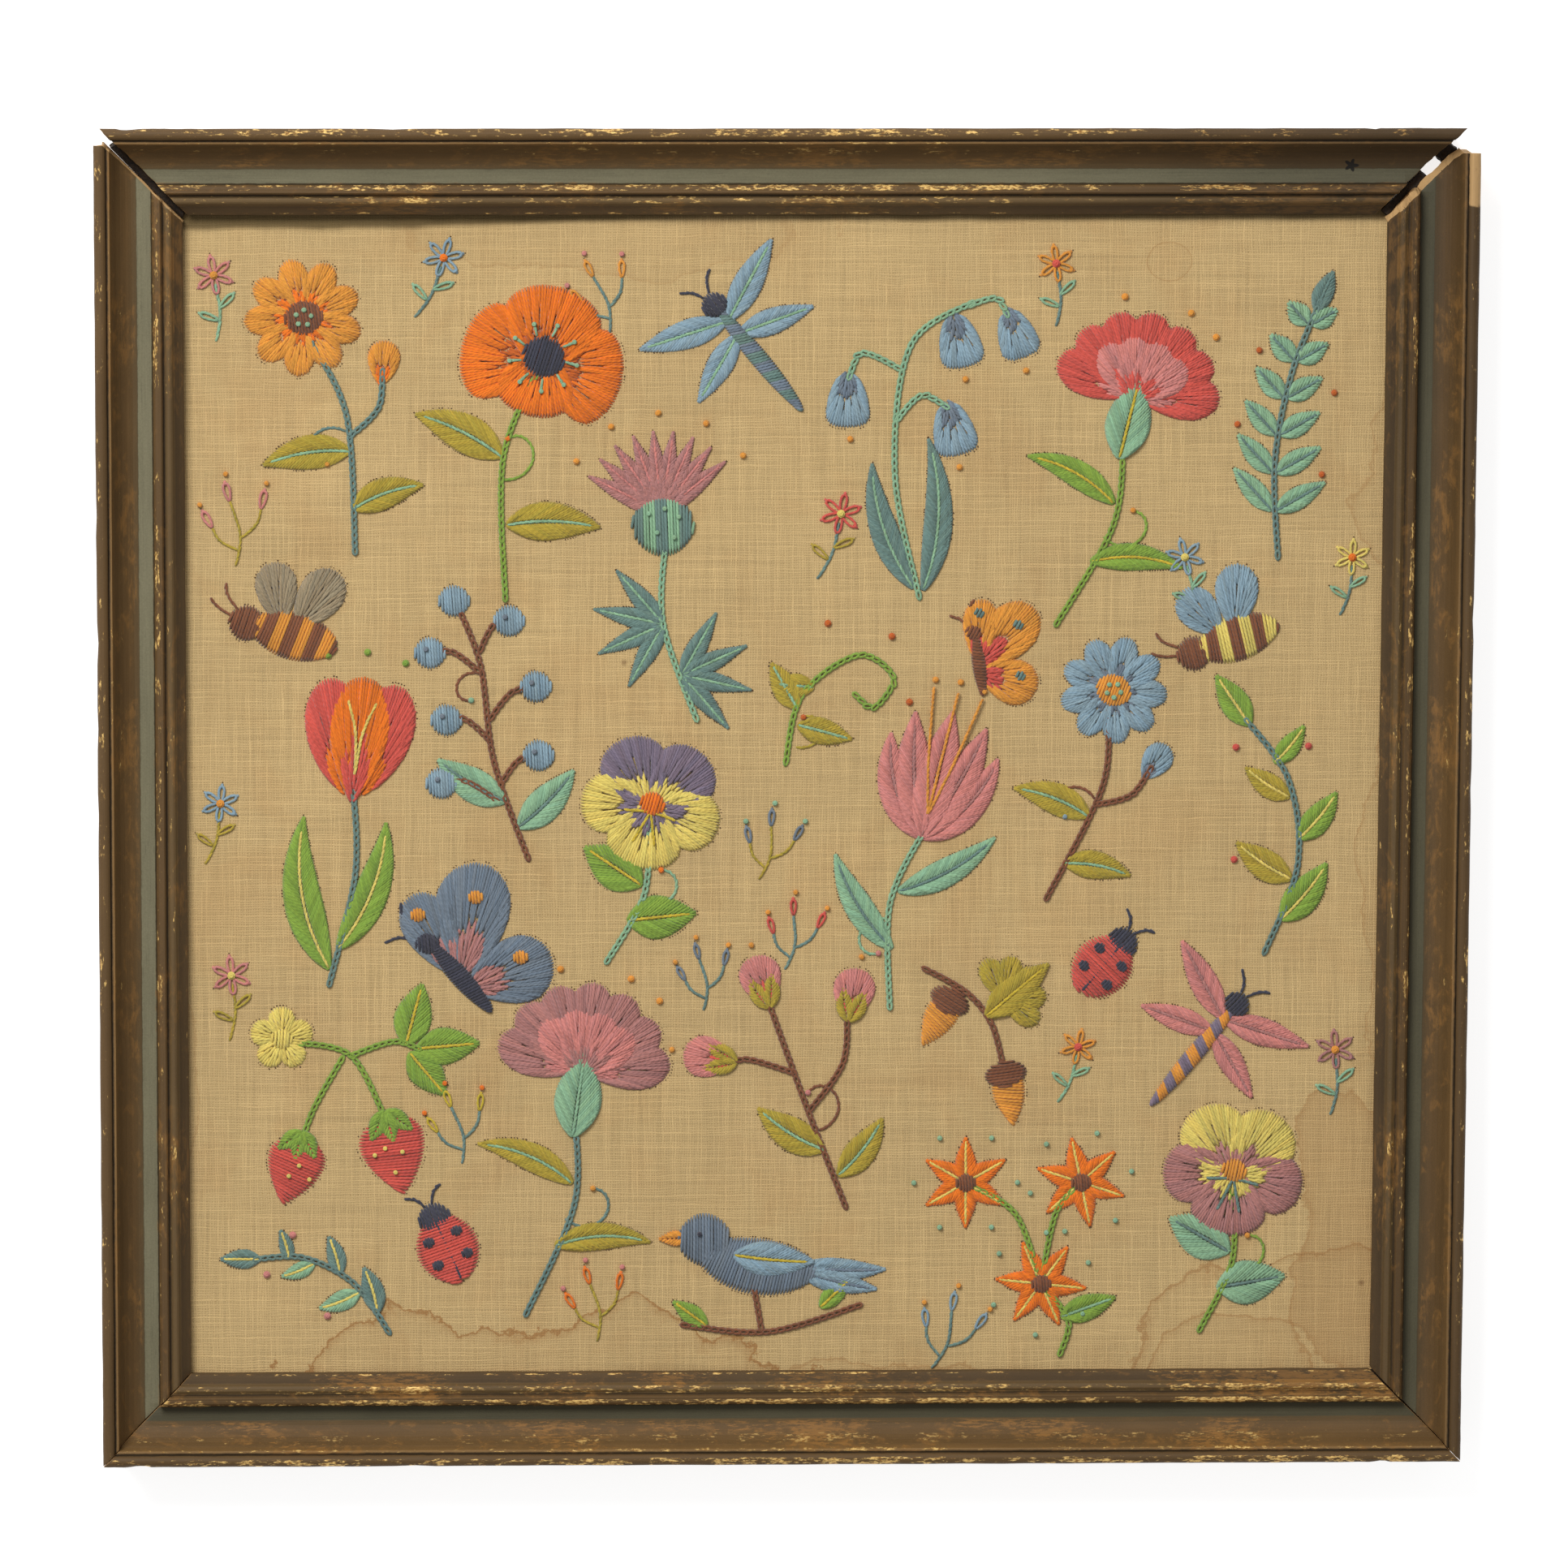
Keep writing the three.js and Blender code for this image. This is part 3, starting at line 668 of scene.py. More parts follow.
# tone: how light the paint is. gilding, bloom, rust, streaks, soot: how much there is of gold leaf, of
# grey-green bloom, of worn bole, of streaks in it and of soot. bloom is low on the bottom and right rails as
# painted shade: there the flat band keeps its dark paint for the gilt bead's shadow. ragged: how far the
# mitres are frayed. torn: how far the one at the rail's end is torn open. bare_above: where bare wood starts
# along the rail. chip: the place of a bruise along and across the rail, in millimetres.
Rail = namedtuple(
    "Rail",
    "node foot along inward length tone gilding bloom rust streaks soot ragged torn bare_above chip",
)

LONG_RAIL = 0.4536  # outer edge of the top and bottom rails
SHORT_RAIL = 0.4439  # outer edge of the left and right rails
LEAN_LEFT = math.radians(0.29)
LEAN_RIGHT = math.radians(0.58)
NOWHERE = 9.0  # further along than a rail reaches

CLOSE_CUTS = 0.0018
WIDE_CUTS = 0.007
MITRE_REACH = 0.034  # distance from a rail's ends up to which its cuts are close

PAINT_EDGE = 0.0005  # how far short of a badly torn mitre the paint ends
GROOVE_FILL = 0.0007  # thickness of old paint in the groove between the two inner beads
GROOVE = (0.0217, 0.0231)  # distances in from the outer edge that this groove lies between
ARRISES = (0.001, 0.0285)  # chips are outside these two distances in from the outer edge
FLAT_UP_TO = 0.0005  # height up to which a rail stays flat
SOUND_UP_TO = 0.004  # height up to which a mitre stays sound
GROOVE_ABOVE = 0.012

ARRIS_ANGLE = math.radians(50)
FLAT_ANGLE = math.radians(0.5)
ROUNDED_ANGLE = math.radians(38)
END_LEAN = 0.45  # a face that looks along the rail at least this much is a cut end
BACK_LEAN = 0.8  # a face that looks down at least this much is a back


def rail_plan():
    """Where each rail starts, which way it runs, which way its face looks and how worn it is."""
    top_low, top_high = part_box("rail_top")
    low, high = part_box("rail_bottom")
    left_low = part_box("rail_left")[0]
    right_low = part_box("rail_right")[0]
    across = Vector((1, 0, 0))
    up = Vector((0, 1, 0))
    up_left = Vector((-math.sin(LEAN_LEFT), math.cos(LEAN_LEFT), 0))
    up_right = Vector((math.sin(LEAN_RIGHT), math.cos(LEAN_RIGHT), 0))
    in_left = Vector((up_left.y, -up_left.x, 0))
    in_right = Vector((-up_right.y, up_right.x, 0))
    top_foot = Vector((top_low.x, top_high.y, 0))
    low_foot = Vector((low.x, low.y, 0))
    left_foot = Vector((low.x, left_low.y, 0))
    right_foot = Vector((high.x, right_low.y, 0))
    return [
        Rail(
            "rail_top", top_foot, across, -up, LONG_RAIL,
            tone=1.1, gilding=1.65, bloom=0.68, rust=0.5, streaks=0.6, soot=1.0,
            ragged=0.45, torn=0, bare_above=NOWHERE, chip=(416, 13),
        ),
        Rail(
            "rail_bottom", low_foot, across, up, LONG_RAIL,
            # bloom 0: the flat band keeps its dark paint, painted shadow of the gilt bead
            tone=1.04, gilding=1.85, bloom=0.0, rust=0.75, streaks=0.9, soot=0,
            ragged=0.1, torn=0, bare_above=NOWHERE, chip=None,
        ),
        Rail(
            "rail_left", left_foot, up_left, in_left, SHORT_RAIL,
            tone=1.02, gilding=1.0, bloom=0.84, rust=0.55, streaks=0.3, soot=0,
            ragged=0.3, torn=0.4, bare_above=NOWHERE, chip=None,
        ),
        Rail(
            "rail_right", right_foot, up_right, in_right, SHORT_RAIL,
            # low bloom: the flat band is darker, painted shadow of the gilt bead
            tone=0.86, gilding=1.1, bloom=0.2, rust=0.62, streaks=0.25, soot=0.6,
            ragged=0.7, torn=2.0, bare_above=0.42, chip=None,
        ),
    ]


def paint_edge(plan):
    """Where the paint ends short of a torn mitre: further back where more wood is torn."""
    return PAINT_EDGE * min(1.0, 0.5 + 0.25 * plan.torn)


def cut_places(length):
    """Where a rail gets its cross cuts: close together at the mitres, wide apart between them."""
    near = [CLOSE_CUTS * i for i in range(1, int(MITRE_REACH / CLOSE_CUTS))]
    between = length - 2 * MITRE_REACH
    count = int(between / WIDE_CUTS)
    middle = [MITRE_REACH + between * i / count for i in range(count + 1)]
    return near + middle + [length - place for place in near]


def worn_rail(look, plan):
    """Copies the rail's solid, rounds its arrises, cuts it along its length and wears it."""
    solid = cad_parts[plan.node]
    piece = rename(bpy.data.objects.new("rail", solid.data.copy()), "worn_" + plan.node)
    bpy.context.scene.collection.objects.link(piece)
    pick(piece)
    bpy.ops.object.mode_set(mode="EDIT")
    bpy.ops.mesh.select_all(action="SELECT")
    bpy.ops.mesh.remove_doubles(threshold=1e-6)
    bpy.ops.mesh.dissolve_limited(angle_limit=FLAT_ANGLE)
    bpy.ops.mesh.select_all(action="DESELECT")
    bpy.ops.mesh.edges_select_sharp(sharpness=ARRIS_ANGLE)
    bpy.ops.mesh.bevel(offset=look.edge_radius, segments=2, affect="EDGES", clamp_overlap=True)
    for place in cut_places(plan.length):
        bpy.ops.mesh.select_all(action="SELECT")
        bpy.ops.mesh.bisect(plane_co=plan.foot + plan.along * place, plane_no=plan.along)
    if plan.torn:
        across_mitre = (plan.along + plan.inward).normalized()
        bpy.ops.mesh.select_all(action="SELECT")
        tip = plan.foot + plan.along * (plan.length - paint_edge(plan) * 1.4)
        bpy.ops.mesh.bisect(plane_co=tip, plane_no=across_mitre)
    bpy.ops.mesh.select_all(action="DESELECT")
    bpy.ops.object.mode_set(mode="OBJECT")
    wear(piece.data, plan)
    piece.data.materials.clear()
    map_rail(piece.data, plan)
    bpy.ops.object.shade_smooth_by_angle(angle=ROUNDED_ANGLE)
    return piece


def wear(mesh, plan):
    """Dents the arrises and frays the mitres. The faces that rest on the floor stay flat."""
    shell = bmesh.new()
    shell.from_mesh(mesh)
    shell.normal_update()
    shifts = [worn_shift(vertex, plan) for vertex in shell.verts]
    for vertex, shift in zip(shell.verts, shifts):
        vertex.co += shift
    shell.to_mesh(mesh)
    shell.free()
    mesh.update()


def worn_shift(vertex, plan):
    """How far wear moves one corner of the rail's faces."""
    place = vertex.co
    if place.z < FLAT_UP_TO:
        return Vector((0, 0, 0))
    run = (place - plan.foot).dot(plan.along)
    inward = (place - plan.foot).dot(plan.inward)
    dent = 0.00012 * noise.noise(place * 90) + 0.00007 * noise.noise(place * 400)
    if not ARRISES[0] < inward < ARRISES[1]:
        dent -= max(0.0, noise.noise(place * 150) - 0.42) * 0.0016
    shift = vertex.normal * dent
    to_mitre = min(run - inward, plan.length - inward - run)
    at_start = run < plan.length / 2
    above = place.z > SOUND_UP_TO
    if above and to_mitre < 0.0008:
        fray = noise.noise(Vector((inward * 700, place.z * 500, run * 30)))
        fray *= 0.2 if place.y < 0 else 1.0
        shift += plan.along * (plan.ragged * MM * fray * (1 if at_start else -1))
    if above and to_mitre < 0.00025 and plan.torn and run > plan.length / 2:
        splinter = 0.75 + 0.5 * noise.noise(Vector((inward * 320, place.z * 60, 5)))
        shift += (plan.along + plan.inward) * (0.7 * splinter * plan.torn * MM) - Vector((0, 0, 0.0009))
    if GROOVE[0] < inward < GROOVE[1] and place.z > GROOVE_ABOVE:
        shift += Vector((0, 0, GROOVE_FILL))
    return shift


def map_rail(mesh, plan):
    """Lays the moulding's map, and gives the cut ends and the backs to the second finish."""
    layer = mesh.uv_layers.new(name="moulding")
    for loop in mesh.loops:
        from_foot = mesh.vertices[loop.vertex_index].co - plan.foot
        layer.data[loop.index].uv = (from_foot.dot(plan.along), from_foot.dot(plan.inward))
    for face in mesh.polygons:
        cut = abs(face.normal.dot(plan.along)) > END_LEAN
        hidden = face.normal.z < -BACK_LEAN
        from_foot = face.center - plan.foot
        to_mitre = plan.length - from_foot.dot(plan.inward) - from_foot.dot(plan.along)
        torn = plan.torn and to_mitre < paint_edge(plan) * 0.9
        face.material_index = 1 if cut or hidden or torn else 0


GLUE_RIDGES = 0.0012  # roughness of a lump's upper half
GLUE_FOOT = 0.0004  # roughness of its lower half
GLUE_WAVES = 0.0014  # unevenness along its length
GLUE_ANGLE = math.radians(40)


def old_glue(name, corner, turn, near, far, width, low, high):
    """A dark ridge deep in a mitre: dried glue and torn wood, made near-black as painted shade of the deep
    gap.

    corner is the outer end of the gap's middle line and turn the way that it runs inwards, in degrees.
    near and far are distances along it.
    """
    deselect()
    bpy.ops.mesh.primitive_cube_add(size=1)
    lump = rename(bpy.context.object, name)
    lump.scale = (far - near, width, high - low)
    settle(lump)
    bpy.ops.object.mode_set(mode="EDIT")
    bpy.ops.mesh.select_all(action="SELECT")
    bpy.ops.mesh.subdivide(number_cuts=5)
    bpy.ops.mesh.vertices_smooth(factor=0.4, repeat=1)
    bpy.ops.object.mode_set(mode="OBJECT")
    angle = math.radians(turn)
    heading = Vector((math.cos(angle), math.sin(angle), 0))
    lump.location = corner + heading * (near + far) / 2 + Vector((0, 0, (low + high) / 2))
    lump.rotation_euler = (0, 0, angle)
    settle(lump)
    for vertex in lump.data.vertices:
        upper = vertex.co.z > (low + high) / 2
        rough = noise.noise(vertex.co * 600) * (GLUE_RIDGES if upper else GLUE_FOOT)
        vertex.co += Vector((0, 0, rough))
        vertex.co += heading * (GLUE_WAVES * noise.noise(vertex.co * 420 + Vector((7, 0, 0))))
    bpy.ops.object.shade_smooth_by_angle(angle=GLUE_ANGLE)
    return lump


def mitre_shade_lumps():
    """Dark lumps fill the depth of the mitres as painted shade of the deep gaps, with some real glue, but
    for a slot that light comes through at the upper right.
    """
    top_low, top_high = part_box("rail_top")
    low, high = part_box("rail_bottom")
    low_left = Vector((low.x, low.y + 0.0002, 0))
    low_right = Vector((high.x, low.y + 0.0002, 0))
    left = Vector((top_low.x - 0.0005, top_high.y - 0.0014, 0))
    right = Vector((top_high.x + 0.0023, top_high.y - 0.0012, 0))
    # The last five numbers of a lump are near, far, width, low and high
    return [
        old_glue("glue_left", left, -45, 0.0066, 0.0398, 0.0024, 0.0015, 0.0075),
        old_glue("glue_low_left", low_left, 45, 0.004, 0.0408, 0.0014, 0.0008, 0.008),
        old_glue("glue_low_right", low_right, 135, 0.004, 0.0408, 0.0014, 0.0008, 0.008),
        old_glue("glue_right_outer", right, -135, 0.008, 0.0142, 0.0036, 0.0015, 0.0095),
        old_glue("glue_right_inner", right, -135, 0.0215, 0.0396, 0.0036, 0.0015, 0.0085),
    ]


def mitre_shade_finish():
    f = Finish("old_glue", 0.7, Specular_IOR_Level=0.3)
    rough = f.noise(f.place(), 900.0, 4.0, 0.6)
    # Near-black to dark brown: painted shade deep in the mitre gaps, over dried glue
    colour = f.ramp(rough, [(0.3, dye(20, 15, 10)), (0.8, dye(58, 42, 26))])
    return f.done(Base_Color=colour, Normal=f.bump(rough, 0.0004, 0.8))


# Linen

GROUND_SIZE = (0.410, 0.400)
GROUND_THICKNESS = 0.0009
GROUND_HEIGHT_MM = 5.75  # mean height of the edges of the linen's face
GROUND_TILT_MM = 0.45  # how much it rises from left to right, and from top to bottom
GROUND_SWELL_MM = 0.6  # how far the slack cloth comes forward at its middle


def cloth_middle():
    low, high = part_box("linen")
    return (low + high) / 2


def ground_rise(x, y):
    """Height of the linen's face at a place given in millimetres from its middle."""
    across = x * MM / GROUND_SIZE[0]
    up = y * MM / GROUND_SIZE[1]
    slack = GROUND_SWELL_MM * np.cos(np.pi * across) * np.cos(np.pi * up)
    return GROUND_HEIGHT_MM + GROUND_TILT_MM * (across - up) + slack


def linen_sheet(look):
    """A sheet that tilts and swells a little, with small puckers all over."""
    middle = cloth_middle()
    deselect()
    bpy.ops.mesh.primitive_grid_add(
        x_subdivisions=110,
        y_subdivisions=108,
        size=1,
        location=(middle.x, middle.y, 0),
    )
    sheet = rename(bpy.context.object, "linen_ground")
    sheet.scale = (*GROUND_SIZE, 1)
    settle(sheet)
    for vertex in sheet.data.vertices:
        x = (vertex.co.x - middle.x) / MM
        y = (vertex.co.y - middle.y) / MM
        pucker = 0.13 * noise.noise(Vector((x / 11, y / 11, 0)))
        pucker += 0.1 * noise.noise(Vector((x / 34, y / 34, 3)))
        vertex.co.z = (float(ground_rise(x, y)) + pucker) * MM
    sheet.data.update()
    thick = sheet.modifiers.new("cloth", "SOLIDIFY")
    thick.thickness = GROUND_THICKNESS
    thick.offset = -1
    bpy.ops.object.modifier_apply(modifier=thick.name)
    bpy.ops.object.shade_smooth()
    sheet.data.materials.append(linen_finish(look))
    return sheet


# Stitches

STATIONS = np.array([0.0, 0.13, 0.5, 0.87, 1.0])
SIDES = 5
LINK_STATIONS = 8
SPRIG_STATIONS = 12
BURIED_MM = 0.28  # how far the ends of a stitch go into the cloth
SHORTEST_MM = 0.8  # a stitch shorter than this is left out
THREAD_END = 0.55  # width of a thread's ends, as a share of its own
SATIN_FLAT = 0.74  # height of a satin thread, as a share of its width
LINK_THREAD_MM = 0.95
LINK_FLAT = 0.85
ON_CLOTH_MM = 0.3  # a stitch lifted less than this lies on the cloth, where its needle holes show
TO_HOLE_MM = 0.42  # distance from the end of a stitch to its needle hole
CLOSED_HOLES = 0.45  # share of the needle holes that the wool closes over
# Colour of the needle holes: painted shade in the holes
NEEDLE_HOLE_SHADE = dye(92, 66, 40)

Form = namedtuple("Form", "belly base tip rise")
LEAF = Form(0.42, 0.8, 0.9, 0.85)
PETAL = Form(0.66, 0.9, 0.45, 1.0)
SPIKE = Form(0.35, 0.7, 1.1, 0.95)
ROUND = Form(0.5, 0.5, 0.5, 1.25)
BELL = Form(0.8, 0.55, 0.3, 1.05)
BERRY = Form(0.3, 0.45, 0.85, 1.1)

Blade = namedtuple("Blade", "form x y turn length width bend work wool second lift")
Line = namedtuple("Line", "points work wool lift")
Knot = namedtuple("Knot", "x y radius wool lift")


def tube_faces(rings, sides, closed):
    """Faces of a tube as corners (ring, side). The second ends of the seam count on past the first."""
    last = rings if closed else rings - 1
    faces = [((i, k), (i, k + 1), (i + 1, k + 1), (i + 1, k)) for i in range(last) for k in range(sides)]
    if not closed:
        faces.append(tuple((0, k) for k in reversed(range(sides))))
        faces.append(tuple((rings - 1, k) for k in range(sides)))
    return faces


class Yarn:
    """The stitches of one piece, gathered as tubes and made into one mesh.

    All its lengths are in millimetres, and its places are from the middle of the linen.
    """

    def __init__(self, seed, sizes, dyes):
        self.rng = random.Random(seed)
        self.thread = sizes.thread / MM
        self.pitch = sizes.pitch / MM
        self.link = sizes.link / MM
        self.link_width = sizes.link_width / MM
        self.dyes = dyes
        self.groups = {}

    def tube(self, path, width, flat, colour, closed=False):
        """A thread along a path: width across, flat times that in height."""
        rings = len(path)
        if closed:
            tangent = np.roll(path, -1, 0) - np.roll(path, 1, 0)
        else:
            tangent = np.gradient(path, axis=0)
        tangent /= np.linalg.norm(tangent, axis=1)[:, None]
        side = np.cross((0.0, 0.0, 1.0), tangent)
        side /= np.maximum(np.linalg.norm(side, axis=1), 1e-9)[:, None]
        up = np.cross(tangent, side)
        radius = np.full(rings, width / 2)
        if not closed:
            radius[0] *= THREAD_END
            radius[-1] *= THREAD_END
        angle = 2 * np.pi * np.arange(SIDES) / SIDES
        beside = side[:, None] * np.cos(angle)[None, :, None]
        above = up[:, None] * (flat * np.sin(angle))[None, :, None]
        points = path[:, None] + (beside + above) * radius[:, None, None]
        step = np.linalg.norm(np.diff(path, axis=0), axis=1)
        along = np.concatenate([[0], np.cumsum(step)]) + self.rng.uniform(0, 60)
        self.add(points, along, colour, closed)

    def add(self, points, along, colour, closed):
        """Keeps a tube with those that have as many rings and sides."""
        key = (points.shape[0], points.shape[1], closed)
        self.groups.setdefault(key, []).append((points, along, colour))

    def shade(self, wool, spread=0.15):
        """The wool's colour, a little different from thread to thread."""
        level = 1 + self.rng.uniform(-spread, spread)
        warm = self.rng.uniform(-0.04, 0.04)
        red, green, blue = self.dyes[wool]
        return (red * level * (1 + warm), green * level, blue * level * (1 - warm))

    def stitch(self, start, end, wool, rise, lift, holes=(True, True), width=1.0):
        """One straight stitch from hole to hole, arched over what lies under it."""
        start = np.asarray(start, float)
        end = np.asarray(end, float)
        length = np.linalg.norm(end - start)
        if length < SHORTEST_MM:
            return
        s = STATIONS[:, None]
        flat = start + (end - start) * s
        sway = self.rng.uniform(-0.06, 0.06) * np.sin(np.pi * s)
        across = np.array([start[1] - end[1], end[0] - start[0]]) / length
        flat = flat + across * sway * min(length, 6) * 0.3
        arch = np.sin(np.pi * STATIONS) ** 0.45
        arch[[0, -1]] = 0
        full = rise * min(1.0, 0.35 + length / 12)
        height = ground_rise(flat[:, 0], flat[:, 1]) + lift - BURIED_MM + arch * (full + BURIED_MM)
        path = np.column_stack([flat, height])
        self.tube(path, self.thread * width * self.rng.uniform(0.93, 1.07), SATIN_FLAT, self.shade(wool))
        if lift < ON_CLOTH_MM:
            out = (end - start) / length * TO_HOLE_MM
            if holes[0]:
                self.hole(start - out)
            if holes[1]:
                self.hole(end + out)

    def hole(self, place):
        """The needle hole at the end of a stitch, as a small dark block: painted shade in the hole. The wool
        closes over almost half of them.
        """
        if self.rng.random() < CLOSED_HOLES:
            return
        x, y = place
        ground = float(ground_rise(x, y))
        radius = self.rng.uniform(0.17, 0.34)
        turn = self.rng.uniform(0, math.pi / 2)
        angle = turn + math.pi / 2 * np.arange(4)
        ring = np.column_stack([x + radius * np.cos(angle), y + radius * np.sin(angle)])
        low = np.column_stack([ring, np.full(4, ground - 0.3)])
        high = np.column_stack([ring, np.full(4, ground + 0.17)])
        self.add(np.stack([low, high]), np.array([0.0, 0.5]), NEEDLE_HOLE_SHADE, False)

    def work(self, mark):
        """Works one mark in its own stitch."""
        if isinstance(mark, Knot):
            self.knot(mark)
        else:
            getattr(self, mark.work)(mark)

    def fishbone(self, mark):
        """Slanting stitches from the midrib to both edges, and a vein along the rib."""
        count = max(5, round(1.1 * mark.length / self.pitch))
        slant = 0.55 * mark.width / mark.length
        for side in (1, -1):
            for i in range(count):
                t = (i + 0.5) / count
                back = max(0.015, t - slant * (0.35 + swell(mark.form, t)))
                rib = edge(mark, back, side, 0.06)
                self.stitch(rib, edge(mark, t, side), mark.wool, mark.form.rise, mark.lift, (False, True))
        if mark.second:
            path = [edge(mark, t, 0) for t in np.linspace(0.02, 0.9, 12)]
            self.rope(Line(path, "rope", mark.second, mark.lift + 0.35), smooth=False)

    def satin(self, mark):
        """Straight stitches across, edge to edge, in bands where there is a second wool."""
        count = max(3, round(mark.length / self.pitch))
        for i in range(count):
            t = (i + 0.5) / count
            lean = 0.03 * (1 if mark.form is ROUND else 2)
            start = edge(mark, min(1.0, t + lean), 1)
            end = edge(mark, max(0.0, t - lean), -1)
            striped = mark.second and (i // 4) % 2
            wool = mark.second if striped else mark.wool
            rise = mark.form.rise * (0.55 + 0.45 * swell(mark.form, t))
            self.stitch(start, end, wool, rise, mark.lift)

    def fanned(self, mark):
        """Long and short stitches that spread from the foot of a petal to its rim."""
        foot = np.array(edge(mark, 0.0, 0))
        begin = 0.16
        left = [edge(mark, t, 1) for t in np.linspace(begin, 1, 40)]
        right = [edge(mark, t, -1) for t in np.linspace(1, begin, 40)]
        rim = np.array(left + right[1:])
        reach = np.concatenate([[0], np.cumsum(np.linalg.norm(np.diff(rim, axis=0), axis=1))])
        count = max(6, round(reach[-1] / self.pitch * 0.98))
        for i in range(count):
            at = reach[-1] * (i + 0.5) / count
            end = np.array([np.interp(at, reach, rim[:, 0]), np.interp(at, reach, rim[:, 1])])
            start_share = 0.04 + 0.7 * halving(i)
            sides = abs(2 * (i + 0.5) / count - 1)
            rise = mark.form.rise * (1.0 - 0.35 * sides)
            self.petal_stitch(mark, foot, end, start_share, rise)

    def petal_stitch(self, mark, foot, end, start_share, rise):
        """One stitch of a petal, in two wools where it starts near the foot of a two-coloured petal."""
        aim = foot + (end - foot) * start_share
        if mark.second and start_share < 0.42:
            join = 0.44 + self.rng.uniform(-0.09, 0.09)
            middle = foot + (end - foot) * join
            self.stitch(aim, middle, mark.second, rise * 0.9, mark.lift, (False, False))
            self.stitch(middle, end, mark.wool, rise, mark.lift, (False, True))
        else:
            self.stitch(aim, end, mark.wool, rise, mark.lift, (False, True))

    def chain(self, mark):
        """A row of chain stitch: open links, each starting inside the one before."""
        path, length = even_path(mark.points)
        count = max(1, round(length / self.link))
        for i in range(count):
            x, y, heading = path(i / count)
            self.loop(x, y, heading, mark)

    def loop(self, x, y, heading, mark):
        """One link of a row of chain stitch."""
        colour = self.shade(mark.wool, 0.07)
        angle = 2 * np.pi * np.arange(LINK_STATIONS) / LINK_STATIONS
        ahead = 0.66 * self.link * (1 - np.cos(angle)) - 0.1
        narrow = 0.5 + 0.5 * np.sin(angle / 2)
        beside = 0.5 * (self.link_width - 0.9) * np.sin(angle) * narrow
        cos, sin = math.cos(heading), math.sin(heading)
        flat_x = x + ahead * cos - beside * sin
        flat_y = y + ahead * sin + beside * cos
        height = ground_rise(flat_x, flat_y) + mark.lift + 0.3 + 0.42 * np.sin(angle / 2)
        path = np.column_stack([flat_x, flat_y, height])
        self.tube(path, LINK_THREAD_MM, LINK_FLAT, colour, closed=True)

    def lazy(self, mark):
        """A detached chain link, tied down at its tip with a short stitch."""
        angle = 2 * np.pi * np.arange(SPRIG_STATIONS) / SPRIG_STATIONS
        ahead = 0.5 * mark.length * (1 - np.cos(angle))
        beside = 0.5 * (mark.width - 0.9) * np.sin(angle) * (0.45 + 0.55 * np.sin(angle / 2) ** 2)
        turn = math.radians(mark.turn)
        x = mark.x + ahead * math.cos(turn) - beside * math.sin(turn)
        y = mark.y + ahead * math.sin(turn) + beside * math.cos(turn)
        height = ground_rise(x, y) + mark.lift + 0.3 + 0.3 * np.sin(angle / 2)
        path = np.column_stack([x, y, height])
        self.tube(path, LINK_THREAD_MM, LINK_FLAT, self.shade(mark.wool, 0.08), closed=True)
        out = np.array([math.cos(turn), math.sin(turn)])
        tip = np.array([mark.x, mark.y]) + mark.length * out
        self.stitch(tip - 0.9 * out, tip + 0.8 * out, mark.wool, 0.7, mark.lift, (False, True))

    def rope(self, mark, smooth=True):
        """Stem stitch: short overlapping stitches that twist like a cord."""
        path, length = even_path(mark.points, smooth)
        step = 1.9
        count = max(1, round(length / step))
        for i in range(count):
            ax, ay, heading = path(i / count)
            bx, by, _ = path(min(1.0, (i + 1.75) / count))
            off = 0.2
            start = (ax - off * math.sin(heading), ay + off * math.cos(heading))
            end = (bx + off * math.sin(heading), by - off * math.cos(heading))
            self.stitch(start, end, mark.wool, 0.55, mark.lift, (False, False), 0.84)

    def knot(self, mark):
        """A knot: thread wound into a small ring, with a second turn on top."""
        colour = self.shade(mark.wool, 0.08)
        angle = 2 * np.pi * np.arange(LINK_STATIONS) / LINK_STATIONS
        for turn, (radius, height) in enumerate([(1.0, 0.32), (0.62, 0.8)]):
            ring = max(0.35, mark.radius * radius - 0.4)
            x = mark.x + ring * np.cos(angle + turn)
            y = mark.y + ring * np.sin(angle + turn)
            z = ground_rise(x, y) + mark.lift + height
            self.tube(np.column_stack([x, y, z]), 1.05, 0.9, colour, closed=True)

    def mesh(self, name, middle):
        """Makes the mesh, in metres and in its place on the cloth."""
        points, faces, counts, maps, colours = [], [], [], [], []
        base = 0
        for (rings, sides, closed), tubes in self.groups.items():
            pattern = tube_faces(rings, sides, closed)
            ring_at, side_at = np.array([corner for face in pattern for corner in face]).T
            corners = ring_at % rings * sides + side_at % sides
            counts += [len(face) for face in pattern] * len(tubes)
            for place, along, colour in tubes:
                points.append(place.reshape(-1, 3))
                faces.append(corners + base)
                reach = np.append(along, along[-1] + 1.0)
                maps.append(np.stack([reach[ring_at], side_at / sides], axis=-1))
                colours.append(np.tile((*colour, 1.0), (rings * sides, 1)))
                base += rings * sides
        points = np.concatenate(points) * MM
        points[:, 0] += middle.x
        points[:, 1] += middle.y
        faces, maps, colours = (np.concatenate(rows) for rows in (faces, maps, colours))
        return thread_mesh(name, points, faces, counts, maps, colours)


